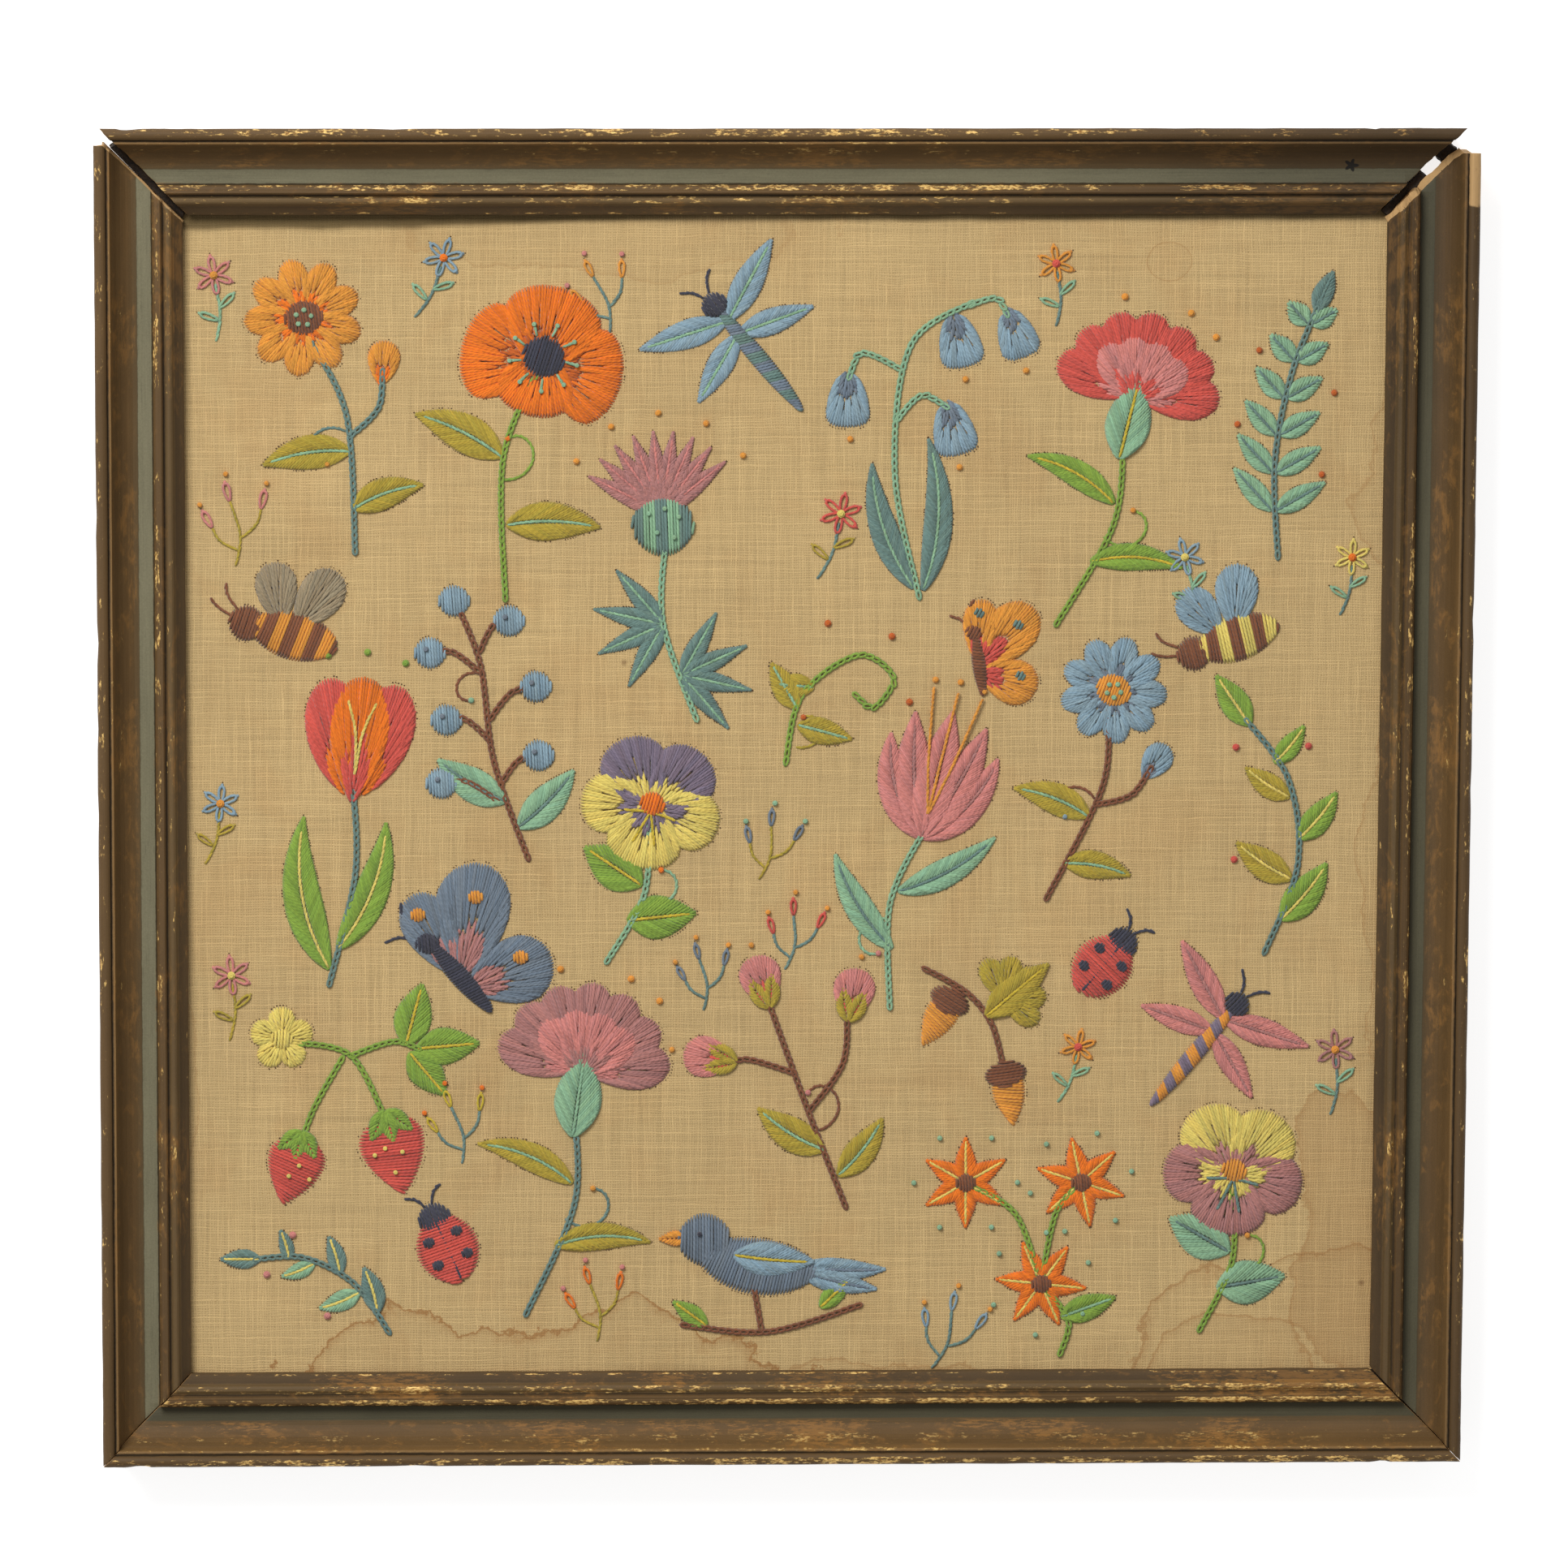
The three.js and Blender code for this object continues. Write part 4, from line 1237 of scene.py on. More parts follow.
def thread_mesh(name, points, faces, counts, maps, colours):
    """faces holds all corners, face after face, and counts how many of them each face has."""
    mesh = bpy.data.meshes.new(name)
    mesh.vertices.add(len(points))
    mesh.vertices.foreach_set("co", points.astype(np.float32).ravel())
    mesh.loops.add(faces.size)
    mesh.loops.foreach_set("vertex_index", faces.astype(np.int32).ravel())
    mesh.polygons.add(len(counts))
    starts = np.concatenate([[0], np.cumsum(counts)[:-1]])
    mesh.polygons.foreach_set("loop_start", starts.astype(np.int32))
    mesh.update(calc_edges=True)
    mesh.validate()
    layer = mesh.uv_layers.new(name="thread")
    layer.data.foreach_set("uv", maps.astype(np.float32).ravel())
    wool = mesh.color_attributes.new("wool", "FLOAT_COLOR", "POINT")
    wool.data.foreach_set("color", colours.astype(np.float32).ravel())
    mesh.polygons.foreach_set("use_smooth", np.ones(len(counts), bool))
    mesh.update()
    return mesh


def swell(form, t):
    """Width of a blade at a share t of its length, as a share of its greatest width."""
    if t < form.belly:
        return max(0.0, math.sin(math.pi / 2 * t / form.belly)) ** form.base
    return max(0.0, math.cos(math.pi / 2 * (t - form.belly) / (1 - form.belly))) ** form.tip


def edge(mark, t, side, share=1.0):
    """A point of a blade: on its spine where side is 0, or on its left (1) or right (-1) outline."""
    start = math.radians(mark.turn)
    curve = math.radians(mark.bend or 0.01)
    radius = mark.length / curve
    heading = start + curve * t
    x = mark.x + radius * (math.sin(heading) - math.sin(start))
    y = mark.y + radius * (math.cos(start) - math.cos(heading))
    half = side * share * mark.width / 2 * swell(mark.form, t)
    return (x - half * math.sin(heading), y + half * math.cos(heading))


def halving(i):
    """A share of 1 that halves the gaps left so far, so that near neighbours differ."""
    share, step = 0.0, 0.5
    while i:
        share += step * (i % 2)
        i //= 2
        step /= 2
    return share


def catmull(points, t):
    """A smooth curve through the points, as the solids' stems follow it."""
    last = len(points) - 1
    at = last * t
    i = min(int(at), last - 1)
    w = at - i
    before = points[max(i - 1, 0)]
    here = points[i]
    ahead = points[i + 1]
    after = points[min(i + 2, last)]
    out = []
    for p0, p1, p2, p3 in zip(before, here, ahead, after):
        v0 = (p2 - p0) / 2
        v1 = (p3 - p1) / 2
        cubic = 2 * p1 - 2 * p2 + v0 + v1
        square = 3 * p2 - 3 * p1 - 2 * v0 - v1
        out.append(cubic * w**3 + square * w**2 + v0 * w + p1)
    return out


def even_path(points, smooth=True):
    """A function that gives place and heading at a share of the path's length, and the length."""
    if smooth:
        dense = np.array([catmull(points, t) for t in np.linspace(0, 1, 70)])
    else:
        dense = np.array(points)
    reach = np.concatenate([[0], np.cumsum(np.linalg.norm(np.diff(dense, axis=0), axis=1))])

    def at(share):
        here = share * reach[-1]
        x, y = np.interp(here, reach, dense[:, 0]), np.interp(here, reach, dense[:, 1])
        low, high = max(0.0, here - 0.5), min(reach[-1], here + 0.5)
        dx = np.interp(high, reach, dense[:, 0]) - np.interp(low, reach, dense[:, 0])
        dy = np.interp(high, reach, dense[:, 1]) - np.interp(low, reach, dense[:, 1])
        return x, y, math.atan2(dy, dx)

    return at, reach[-1]


# Motifs. They repeat the outlines of the solids, in millimetres, and add wools and small stitches.

Wools = namedtuple("Wools", "petal heart eye leaf vein stem")


def blade(form, work, wool, second, x, y, turn, length, width, bend=0, lift=0.0):
    return Blade(form, x, y, turn, length, width, bend, work, wool, second, lift)


def leaf(wool, vein, *sizes, **more):
    return blade(LEAF, "fishbone", wool, vein, *sizes, **more)


def petal(wool, heart, *sizes, **more):
    return blade(PETAL, "fanned", wool, heart, *sizes, **more)


def spike(wool, heart, *sizes, **more):
    return blade(SPIKE, "fishbone", wool, heart, *sizes, **more)


def bell(wool, heart, *sizes, **more):
    return blade(BELL, "fanned", wool, heart, *sizes, **more)


def oval(wool, band, *sizes, **more):
    return blade(ROUND, "satin", wool, band, *sizes, **more)


def disc(wool, x, y, radius, lift=0.5, band=None):
    return blade(ROUND, "satin", wool, band, x - radius, y, 0, 2 * radius, 2 * radius, lift=lift)


def stem(wool, *points):
    return Line(points, "chain", wool, 0.0)


def line(wool, *points, lift=0.25):
    return Line(points, "rope", wool, lift)


def link(wool, heart, *sizes, **more):
    return blade(LEAF, "lazy", wool, heart, *sizes, **more)


def knots(wool, *places, radius=1.1, lift=0.2):
    return [Knot(x, y, radius, wool, lift) for x, y in places]


def ring(count, x, y, make, wool, heart, length, width, start=90, **more):
    return [make(wool, heart, x, y, start + 360 * i / count, length, width, **more) for i in range(count)]


def fan(count, spread, x, y, make, wool, heart, length, width, middle=90, **more):
    first = middle - spread / 2
    step = spread / (count - 1)
    return [make(wool, heart, x, y, first + step * i, length, width, **more) for i in range(count)]


def around(x, y, radius, count, start=0.0):
    """Places evenly round a circle."""
    turns = [math.radians(start + 360 * i / count) for i in range(count)]
    return [(x + radius * math.cos(a), y + radius * math.sin(a)) for a in turns]


def rays(wool, x, y, inner, outer, count, lift):
    """Short stamens with a knot at each tip."""
    marks = []
    for foot, tip in zip(around(x, y, inner, count), around(x, y, outer, count)):
        marks += [line(wool, foot, tip, lift=lift), *knots(wool, tip, radius=0.8, lift=lift)]
    return marks


def curl(wool, tip, x, y, turn, size):
    """A thin tendril in stem stitch that winds in on itself, with a knot at its end."""
    points = []
    for i in range(9):
        bend = math.radians(turn + 29 * i)
        points.append((x, y))
        step = size * (0.3 - 0.026 * i)
        x += step * math.cos(bend)
        y += step * math.sin(bend)
    return [line(wool, *points, lift=0.0), *knots(tip, points[-1], radius=1.0)]


def daisy(w):
    return [
        stem(w.stem, [0, 20], [5, -4], [-2, -42]),
        stem(w.stem, [4, -10], [14, -4], [18, 6]),
        petal(w.petal, w.heart, 16.5, 2, 70, 13, 9),
        leaf(w.leaf, w.vein, 4, -14, 160, 26, 10, 30),
        leaf(w.leaf, w.vein, 0, -30, 20, 22, 9, -30),
        *ring(9, 0, 26, petal, w.petal, w.heart, 17, 8.5),
        disc(w.eye, 0, 26, 5.5),
        *knots(w.vein, *around(0, 26, 2.2, 5), radius=0.9, lift=1.3),
        *curl(w.stem, w.petal, 4, -8, 150, 13),
    ]


def tulip(w):
    return [
        stem(w.stem, [0, 8], [3, -16], [-1, -48]),
        leaf(w.leaf, w.vein, -1, -44, 128, 46, 11, -45),
        leaf(w.leaf, w.vein, 0, -38, 55, 40, 10, 40),
        petal(w.petal, w.heart, -2, 6, 116, 34, 15, -30),
        petal(w.petal, w.heart, 2, 6, 64, 34, 15, 30),
        petal(w.heart, w.petal, 0, 4, 90, 36, 17, lift=0.45),
        line(w.eye, [0, 12], [-1, 24], [-4, 33], lift=1.3),
        line(w.eye, [0, 12], [1, 24], [4, 33], lift=1.3),
        *knots(w.leaf, (-11, 45), (0, 47), (11, 45), radius=1.2),
    ]


def carnation(w):
    return [
        stem(w.stem, [0, 6], [3, -18], [-6, -50]),
        leaf(w.leaf, w.vein, 2, -12, 145, 30, 8, 40),
        leaf(w.leaf, w.vein, -1, -30, 30, 28, 8, -40),
        *fan(7, 156, 0, 20, petal, w.petal, w.heart, 25, 13),
        *fan(4, 84, 0, 19, petal, w.heart, w.petal, 19, 11, lift=0.45),
        leaf(w.eye, w.vein, 0, 1, 90, 25, 13, lift=0.5),
        *curl(w.stem, "gold", 1, -22, -20, 14),
        *knots("gold", *around(0, 20, 29, 5, 50)[:1], *around(0, 20, 29, 9, 70)[:2], radius=1.2),
    ]


def poppy(w):
    return [
        stem(w.stem, [0, 20], [-4, -8], [6, -46]),
        leaf(w.leaf, w.vein, -4, -8, 155, 28, 11, 25),
        leaf(w.leaf, w.vein, 1, -26, 25, 27, 11, -25),
        petal(w.petal, w.heart, 0, 20, 180, 23, 27),
        petal(w.petal, w.heart, 0, 20, 0, 23, 27),
        petal(w.petal, w.heart, 0, 17, 90, 25, 27, lift=0.3),
        petal(w.petal, w.heart, 0, 25, 270, 20, 22, lift=0.3),
        disc(w.eye, 0, 22, 6, lift=0.9),
        *rays(w.vein, 0, 22, 6, 9.5, 9, lift=1.2),
        *curl(w.stem, w.petal, -3, -14, 20, 14),
    ]


def bluebells(w):
    return [
        stem(w.stem, [-8, -44], [-10, -8], [-1, 26], [18, 36]),
        leaf(w.leaf, w.vein, -7, -42, 60, 44, 8, 40),
        leaf(w.leaf, w.vein, -9, -41, 118, 38, 8, -35),
        stem(w.stem, [-8, 6], [0, 12], [7, 8]),
        bell(w.petal, w.heart, 7, 10, 275, 16, 12),
        stem(w.stem, [-4, 20], [-14, 26], [-19, 20]),
        bell(w.petal, w.heart, -19, 22, 262, 16, 12),
        bell(w.petal, w.heart, 12, 34, 275, 16, 12),
        stem(w.stem, [16, 35], [24, 36], [27, 31]),
        bell(w.petal, w.heart, 27, 33, 282, 15, 11),
        *knots(w.eye, (8, -9), (-21, 3), (13, 15), (30, 15)),
    ]


def strawberries(w):
    pips = [(10, -1), (15, -2), (13, -8), (7, -3), (-15, -6), (-18, -9), (-12, -10)]
    return [
        stem(w.stem, [-16, 30], [0, 26], [10, 8]),
        stem(w.stem, [-2, 26], [-10, 12], [-14, 2]),
        blade(BERRY, "satin", w.petal, None, 10, 8, 285, 23, 20),
        blade(BERRY, "satin", w.petal, None, -14, 2, 255, 20, 17),
        *fan(3, 80, 10, 10, leaf, w.leaf, None, 10, 5.5, 285, lift=0.8),
        *fan(3, 80, -14, 4, leaf, w.leaf, None, 9, 5, 255, lift=0.8),
        *knots(w.eye, *pips, radius=0.7, lift=1.0),
        stem(w.stem, [0, 26], [12, 30], [20, 28]),
        leaf(w.leaf, w.vein, 16, 29, 75, 19, 11),
        leaf(w.leaf, w.vein, 19, 28, 5, 19, 11),
        leaf(w.leaf, w.vein, 17, 27, -50, 17, 10),
        *ring(5, -20, 31, petal, w.heart, None, 9.5, 7.5),
        disc(w.eye, -20, 31, 3.2),
    ]


def thistle(w):
    tips = [(30 * math.cos(a / 2), 20 + 30 * math.sin(a / 2)) for a in range(1, 6)]
    return [
        stem(w.stem, [0, 10], [-3, -14], [4, -44]),
        *fan(4, 110, -3, -14, spike, w.leaf, w.vein, 22, 6, 180),
        *fan(4, 110, 1, -30, spike, w.leaf, w.vein, 22, 6, 0),
        *fan(9, 116, 0, 20, spike, w.petal, w.heart, 25, 6),
        disc(w.eye, 0, 16, 9.5, lift=0.5, band=w.stem),
        *knots(w.vein, (-4, 20), (1, 21), (5, 18), (-2, 14), (3, 12), radius=0.8, lift=1.6),
        *knots("gold", *tips, radius=1.1),
    ]


def leaf_sprig(w):
    leaves = []
    for i, (x, y) in enumerate([[-2, -34], [3, -22], [6, -10], [5, 3], [1, 14]]):
        wool, turn, bend = (w.leaf, 150, -20) if i % 2 else (w.petal, 35, 20)
        leaves.append(leaf(wool, w.vein, x, y, turn, 23 - 2 * i, 10.5 - i, bend))
    return [
        stem(w.stem, [-8, -44], [5, -18], [5, 8], [-6, 28]),
        *leaves,
        leaf(w.petal, w.vein, -5, 26, 118, 19, 9),
        *knots(w.eye, (12, 18), (-10, 20), (-14, -14), radius=1.2),
    ]


def bud(w, x, y, turn):
    return [
        petal(w.petal, w.heart, x, y, turn, 16, 12),
        leaf(w.leaf, None, x, y, turn + 28, 11, 5, -20, lift=0.4),
        leaf(w.leaf, None, x, y, turn - 28, 11, 5, 20, lift=0.4),
    ]


def rosebuds(w):
    return [
        stem(w.stem, [8, -44], [2, -14], [-4, 20]),
        stem(w.stem, [2, -14], [14, -2], [18, 12]),
        stem(w.stem, [0, -2], [-12, 4], [-18, 4]),
        *bud(w, -4, 18, 96),
        *bud(w, 18, 10, 70),
        *bud(w, -16, 4, 160),
        leaf(w.leaf, w.vein, 5, -26, 150, 24, 10, -25),
        leaf(w.leaf, w.vein, 7, -34, 30, 22, 9, 25),
        *knots(w.eye, (-6, 37), (25, 28), (-34, 11), radius=1.0),
        *curl(w.stem, w.petal, 4, -20, 20, 14),
    ]


def pansy(w):
    return [
        stem(w.stem, [0, 6], [3, -14], [-3, -34]),
        leaf(w.leaf, w.vein, 2, -12, 158, 19, 12),
        leaf(w.leaf, w.vein, 0, -22, 18, 19, 12),
        petal(w.heart, w.petal, 0, 8, 122, 21, 18),
        petal(w.heart, w.petal, 0, 8, 58, 21, 18),
        petal(w.petal, w.heart, 0, 9, 186, 19, 16, lift=0.2),
        petal(w.petal, w.heart, 0, 9, -6, 19, 16, lift=0.2),
        petal(w.petal, w.heart, 0, 11, 270, 19, 20, lift=0.35),
        disc(w.eye, 0, 10, 3.4, lift=1.0),
        *[line(w.vein, (0, 8), end, lift=1.25) for end in ((-7, 7), (7, 7), (-3, -1), (3, -1))],
        *curl(w.stem, w.eye, 2, -16, -10, 12),
    ]


def berries(w):
    spots = [[-14, 22], [10, 28], [-12, 2], [15, 8], [-16, -16], [13, -12]]
    marks = [stem(w.stem, [6, -42], [0, -12], [0, 16], [-4, 34])]
    for x, y in spots:
        marks += [stem(w.stem, [0, y - 8], [x * 0.5, y - 1], [x, y]), disc(w.petal, x, y, 4.6, lift=0.2)]
        marks += knots(w.heart, (x - 1, y + 1.4), radius=0.9, lift=1.5)
    return [
        *marks,
        disc(w.petal, -5, 36, 4.6, lift=0.2),
        leaf(w.leaf, w.vein, 2, -24, 150, 24, 10, -20),
        leaf(w.leaf, w.vein, 4, -32, 28, 24, 10, 20),
        *curl(w.stem, w.leaf, 0, 14, 165, 10),
    ]


def dragonfly(w):
    return [
        leaf(w.petal, w.heart, 0, 9, 158, 29, 9),
        leaf(w.petal, w.heart, 0, 9, 22, 29, 9),
        leaf(w.petal, w.heart, 0, 4, 200, 25, 8),
        leaf(w.petal, w.heart, 0, 4, -20, 25, 8),
        oval(w.leaf, w.vein, 0, 15, 270, 42, 5.5, lift=0.4),
        disc(w.eye, 0, 15.5, 4, lift=0.7),
        line(w.eye, (1, 19), (3, 23), (6, 25), lift=0.1),
        line(w.eye, (-1, 19), (-3, 23), (-6, 25), lift=0.1),
    ]


def ladybird(w):
    return [
        disc(w.eye, 0, 9, 5, lift=0.1),
        oval(w.petal, None, 0, 10, 270, 22, 19, lift=0.1),
        line(w.eye, (0, 9), (0, 0), (0, -11), lift=1.0),
        *[disc(w.eye, x, y, 1.7, lift=1.1) for x, y in ((-4.6, 3), (4.6, 3), (-4.8, -4.5), (4.8, -4.5))],
        line(w.eye, (1, 13), (3, 17), (6, 18), lift=0.1),
        line(w.eye, (-1, 13), (-3, 17), (-6, 18), lift=0.1),
    ]


def bee(w):
    return [
        petal(w.heart, None, 1, 2, 68, 19, 12),
        petal(w.heart, None, -3, 2, 112, 17, 11),
        disc(w.eye, -12, 0, 4.8, lift=0.2),
        oval(w.petal, w.eye, -11, 0, 0, 24, 13, lift=0.3),
        line(w.eye, (-15, 3), (-19, 6), (-20, 9), lift=0.1),
        line(w.eye, (-16, 1), (-20, 2), (-23, 4), lift=0.1),
    ]


def star_flowers(w):
    heads = [[-17, 18], [17, 12], [0, -16]]
    marks = []
    for i, (x, y) in enumerate(heads):
        marks += ring(6, x, y, spike, w.petal, w.heart, 14, 6.5, 80 + 12 * i)
        marks += [disc(w.eye, x, y, 3, lift=0.7)]
        marks += knots(w.vein, *around(x, y, 15.5, 6, 110 + 12 * i), radius=0.9)
    return [
        stem(w.stem, [-17, 18], [-4, 6], [0, -16]),
        stem(w.stem, [17, 12], [8, 4], [0, -16]),
        stem(w.stem, [0, -16], [6, -28], [2, -38]),
        *marks,
        leaf(w.leaf, w.vein, 4, -27, 10, 18, 8),
    ]


def fern(w):
    marks = [stem(w.stem, [4, -42], [0, -14], [2, 12], [8, 34])]
    for i in range(6):
        x = 0.5 * (i - 1.6) ** 2
        y = -28 + 11 * i
        reach = 17 - 1.6 * i
        marks.append(leaf(w.leaf, w.vein, x - 0.5, y, 138, reach, 6.4))
        marks.append(leaf(w.leaf, w.vein, x + 0.5, y, 36, reach, 6.4))
    return [
        *marks,
        leaf(w.petal, w.vein, 7, 31, 72, 13, 6),
        *knots(w.eye, (-12, -4), (15, 8), (-8, 18), (14, -16)),
    ]


def acorns(w):
    marks = [stem(w.stem, [-20, 22], [-6, 14], [2, 4], [6, -10])]
    for x, y, turn in ([6, -8, 280], [-9, 15, 240]):
        marks += [blade(LEAF, "satin", w.petal, None, x, y, turn, 21, 11)]
        marks += [oval(w.eye, w.heart, x, y, turn, 8.5, 13.5, lift=0.5)]
    return [
        *marks,
        *fan(5, 150, 6, 12, petal, w.leaf, None, 14, 8, 40),
        leaf(w.leaf, w.vein, 0, 6, 40, 27, 11, lift=0.4),
    ]


def butterfly(w):
    return [
        petal(w.petal, w.heart, 0, -2, 64, 32, 20, 18),
        petal(w.petal, w.heart, 1, -5, 14, 25, 18, -12),
        petal(w.petal, w.heart, -1, -1, 104, 25, 14, 12),
        oval(w.eye, None, 7, -12, 122, 25, 5.5, lift=0.5),
        disc(w.eye, -7, 9, 3.2, lift=0.5),
        *[disc(w.vein, x, y, 2.0, lift=1.0) for x, y in ((8, 19), (17, 1), (-8, 17))],
        line(w.eye, (-8, 12), (-12, 16), (-12, 21), lift=0.1),
        line(w.eye, (-9, 10), (-14, 12), (-18, 11), lift=0.1),
    ]


def bird(w):
    return [
        stem(w.stem, [-26, -17], [0, -21], [28, -15]),
        leaf(w.leaf, w.vein, 16, -15, 40, 13, 6),
        leaf(w.leaf, w.vein, -18, -18, 140, 13, 6),
        leaf(w.heart, w.petal, 10, -2, -12, 27, 7, 12),
        leaf(w.heart, w.petal, 10, -3, -24, 25, 7, 12),
        stem(w.stem, [-4, 0], [-2, -20]),
        oval(w.petal, None, -19, 4, -22, 36, 17, 20, lift=0.2),
        disc(w.petal, -17, 8, 8, lift=0.35),
        spike(w.eye, None, -23, 9, 178, 8, 4.5, lift=0.4),
        leaf(w.heart, w.vein, -9, 3, -14, 25, 10.5, 10, lift=1.0),
        *knots("night", (-18.5, 10), radius=0.8, lift=1.6),
    ]


def lily(w):
    return [
        stem(w.stem, [0, 4], [-4, -18], [3, -46]),
        leaf(w.leaf, w.vein, -3, -14, 28, 32, 8, 30),
        leaf(w.leaf, w.vein, 0, -30, 150, 32, 8, -30),
        leaf(w.petal, w.heart, 0, 2, 142, 32, 10, -45),
        leaf(w.petal, w.heart, 0, 2, 38, 32, 10, 45),
        leaf(w.petal, w.heart, 0, 2, 114, 36, 11, -15, lift=0.2),
        leaf(w.petal, w.heart, 0, 2, 66, 36, 11, 15, lift=0.2),
        leaf(w.petal, w.heart, 0, 2, 90, 37, 12, lift=0.35),
        *[line(w.eye, (0, 9), (x * 0.5, 24), (x, 44), lift=1.2) for x in (-7, 0, 7)],
        *knots(w.eye, (-7, 46), (0, 47), (7, 46), radius=1.1, lift=0.3),
        *curl(w.stem, w.petal, -3, -22, 190, 12),
    ]


def tendril(w):
    return [
        stem(w.stem, [2, -26], [-4, -6], [4, 12], [16, 12], [16, 2], [9, 2]),
        leaf(w.leaf, w.vein, -3, -10, 150, 16, 8),
        leaf(w.leaf, w.vein, -2, -2, 205, 13, 7),
        leaf(w.leaf, w.vein, -1, -14, 15, 17, 8),
        *knots(w.eye, (10, 22), (24, 8), (-8, 16), radius=1.2),
        *curl(w.leaf, w.eye, 2, -20, 30, 11),
    ]


def bloom_sprig(w):
    """A small flower of detached links on a bending stem, with two link leaves."""
    return [
        line(w.stem, [-3, -15], [0, -6], [0, 4], lift=0.0),
        link(w.leaf, None, -1, -8, 150, 6.5, 3.2),
        link(w.leaf, None, 0, -4, 35, 6.5, 3.2),
        *ring(6, 0, 7, link, w.petal, None, 6.2, 3.4),
        *knots(w.heart, (0, 7), radius=1.4, lift=0.5),
    ]


def bud_sprig(w):
    """Three buds on curling stems."""
    return [
        line(w.stem, [-2, -14], [1, -4], [-1, 8], lift=0.0),
        line(w.stem, [1, -5], [7, -1], [9, 4], lift=0.0),
        line(w.stem, [0, -9], [-6, -5], [-8, 0], lift=0.0),
        *[link(w.petal, None, x, y, turn, 6, 3.6) for x, y, turn in ((-1, 8, 96), (9, 4, 70), (-8, 0, 112))],
        *knots(w.heart, (-1, 17), (12, 12), (-11, 8), radius=0.9),
    ]


Motif = namedtuple("Motif", "node draw x y turn size slot wools")

# x and y are in millimetres on the linen, from its middle, and turn is in degrees.
# The wools are for petal, heart, eye, leaf, vein and stem.
SAMPLER = [
    Motif("daisy_gold", daisy, -152, 131, 14, 1.18, "gold", "gold orange brown olive mint teal"),
    Motif("bee_west", bee, -164, 55, -15, 1.25, "gold", "gold taupe brown olive mint teal"),
    Motif("tulip_coral", tulip, -144, -6, -6, 1.18, "coral", "coral orange yellow green yellow teal"),
    Motif(
        "strawberries", strawberries, -144, -116, 0, 1.15, "coral",
        "coral yellow yellow green mustard green",
    ),
    Motif("poppy_orange", poppy, -86, 122, -14, 1.2, "orange", "orange rust night olive mint green"),
    Motif("berries_blue", berries, -98, 26, 8, 1.15, "blue", "blue slate night mint teal brown"),
    Motif("butterfly_slate", butterfly, -108, -58, 10, 1.25, "slate", "slate mauve night blue gold teal"),
    Motif("ladybird_west", ladybird, -112, -150, 24, 1.1, "coral", "coral rust night green mint teal"),
    Motif("carnation_mauve", carnation, -70, -115, -8, 1.2, "mauve", "mauve rose mint olive mint teal"),
    Motif("dragonfly_blue", dragonfly, -12, 152, 40, 1.08, "blue", "blue mint night slate teal teal"),
    Motif("thistle_mauve", thistle, -38, 74, 6, 1.1, "mauve", "mauve rose teal teal mint mint"),
    Motif("pansy_yellow", pansy, -46, -14, -12, 1.25, "yellow", "yellow lilac orange green mustard mint"),
    Motif("rosebuds_pink", rosebuds, 4, -90, 10, 1.15, "rose", "rose coral gold olive mint brown"),
    Motif("bird_slate", bird, -6, -156, 4, 1.12, "slate", "slate blue gold green mustard brown"),
    Motif("bluebells", bluebells, 48, 120, 8, 1.2, "blue", "blue slate gold teal mint mint"),
    Motif("tendril_green", tendril, 14, 38, -30, 1.15, "green", "green mustard rust olive mint green"),
    Motif("butterfly_gold", butterfly, 66, 46, -24, 0.85, "gold", "gold coral brown gold teal teal"),
    Motif("lily_rose", lily, 46, -16, -14, 1.2, "rose", "rose mauve gold mint teal mint"),
    Motif("acorns", acorns, 68, -80, 0, 1.05, "gold", "gold brown brown olive mustard brown"),
    Motif(
        "stars_orange", star_flowers, 84, -146, 10, 1.12, "orange",
        "orange yellow brown green mint green",
    ),
    Motif("carnation_coral", carnation, 112, 112, -14, 1.15, "coral", "coral rose mint green mustard green"),
    Motif("daisy_blue", daisy, 103, 9, -16, 1.08, "blue", "blue slate gold olive mint brown"),
    Motif("ladybird_east", ladybird, 108, -56, -40, 1.05, "coral", "coral rust night green mint teal"),
    Motif("fern_mint", fern, 166, 128, -6, 1.15, "mint", "teal teal rust mint teal teal"),
    Motif("bee_east", bee, 151, 53, 20, 1.2, "yellow", "yellow blue brown olive mint teal"),
    Motif("leaf_sprig", leaf_sprig, 165, -4, 6, 1.1, "green", "green mustard coral olive yellow teal"),
    Motif("dragonfly_rose", dragonfly, 142, -82, -40, 1.05, "rose", "rose mauve night lilac gold teal"),
    Motif("pansy_mauve", pansy, 150, -138, -8, 1.25, "mauve", "mauve yellow gold mint teal green"),
    Motif("leaf_sprig_teal", leaf_sprig, -156, -160, 62, 0.72, "teal", "teal mustard rose mint yellow teal"),
]

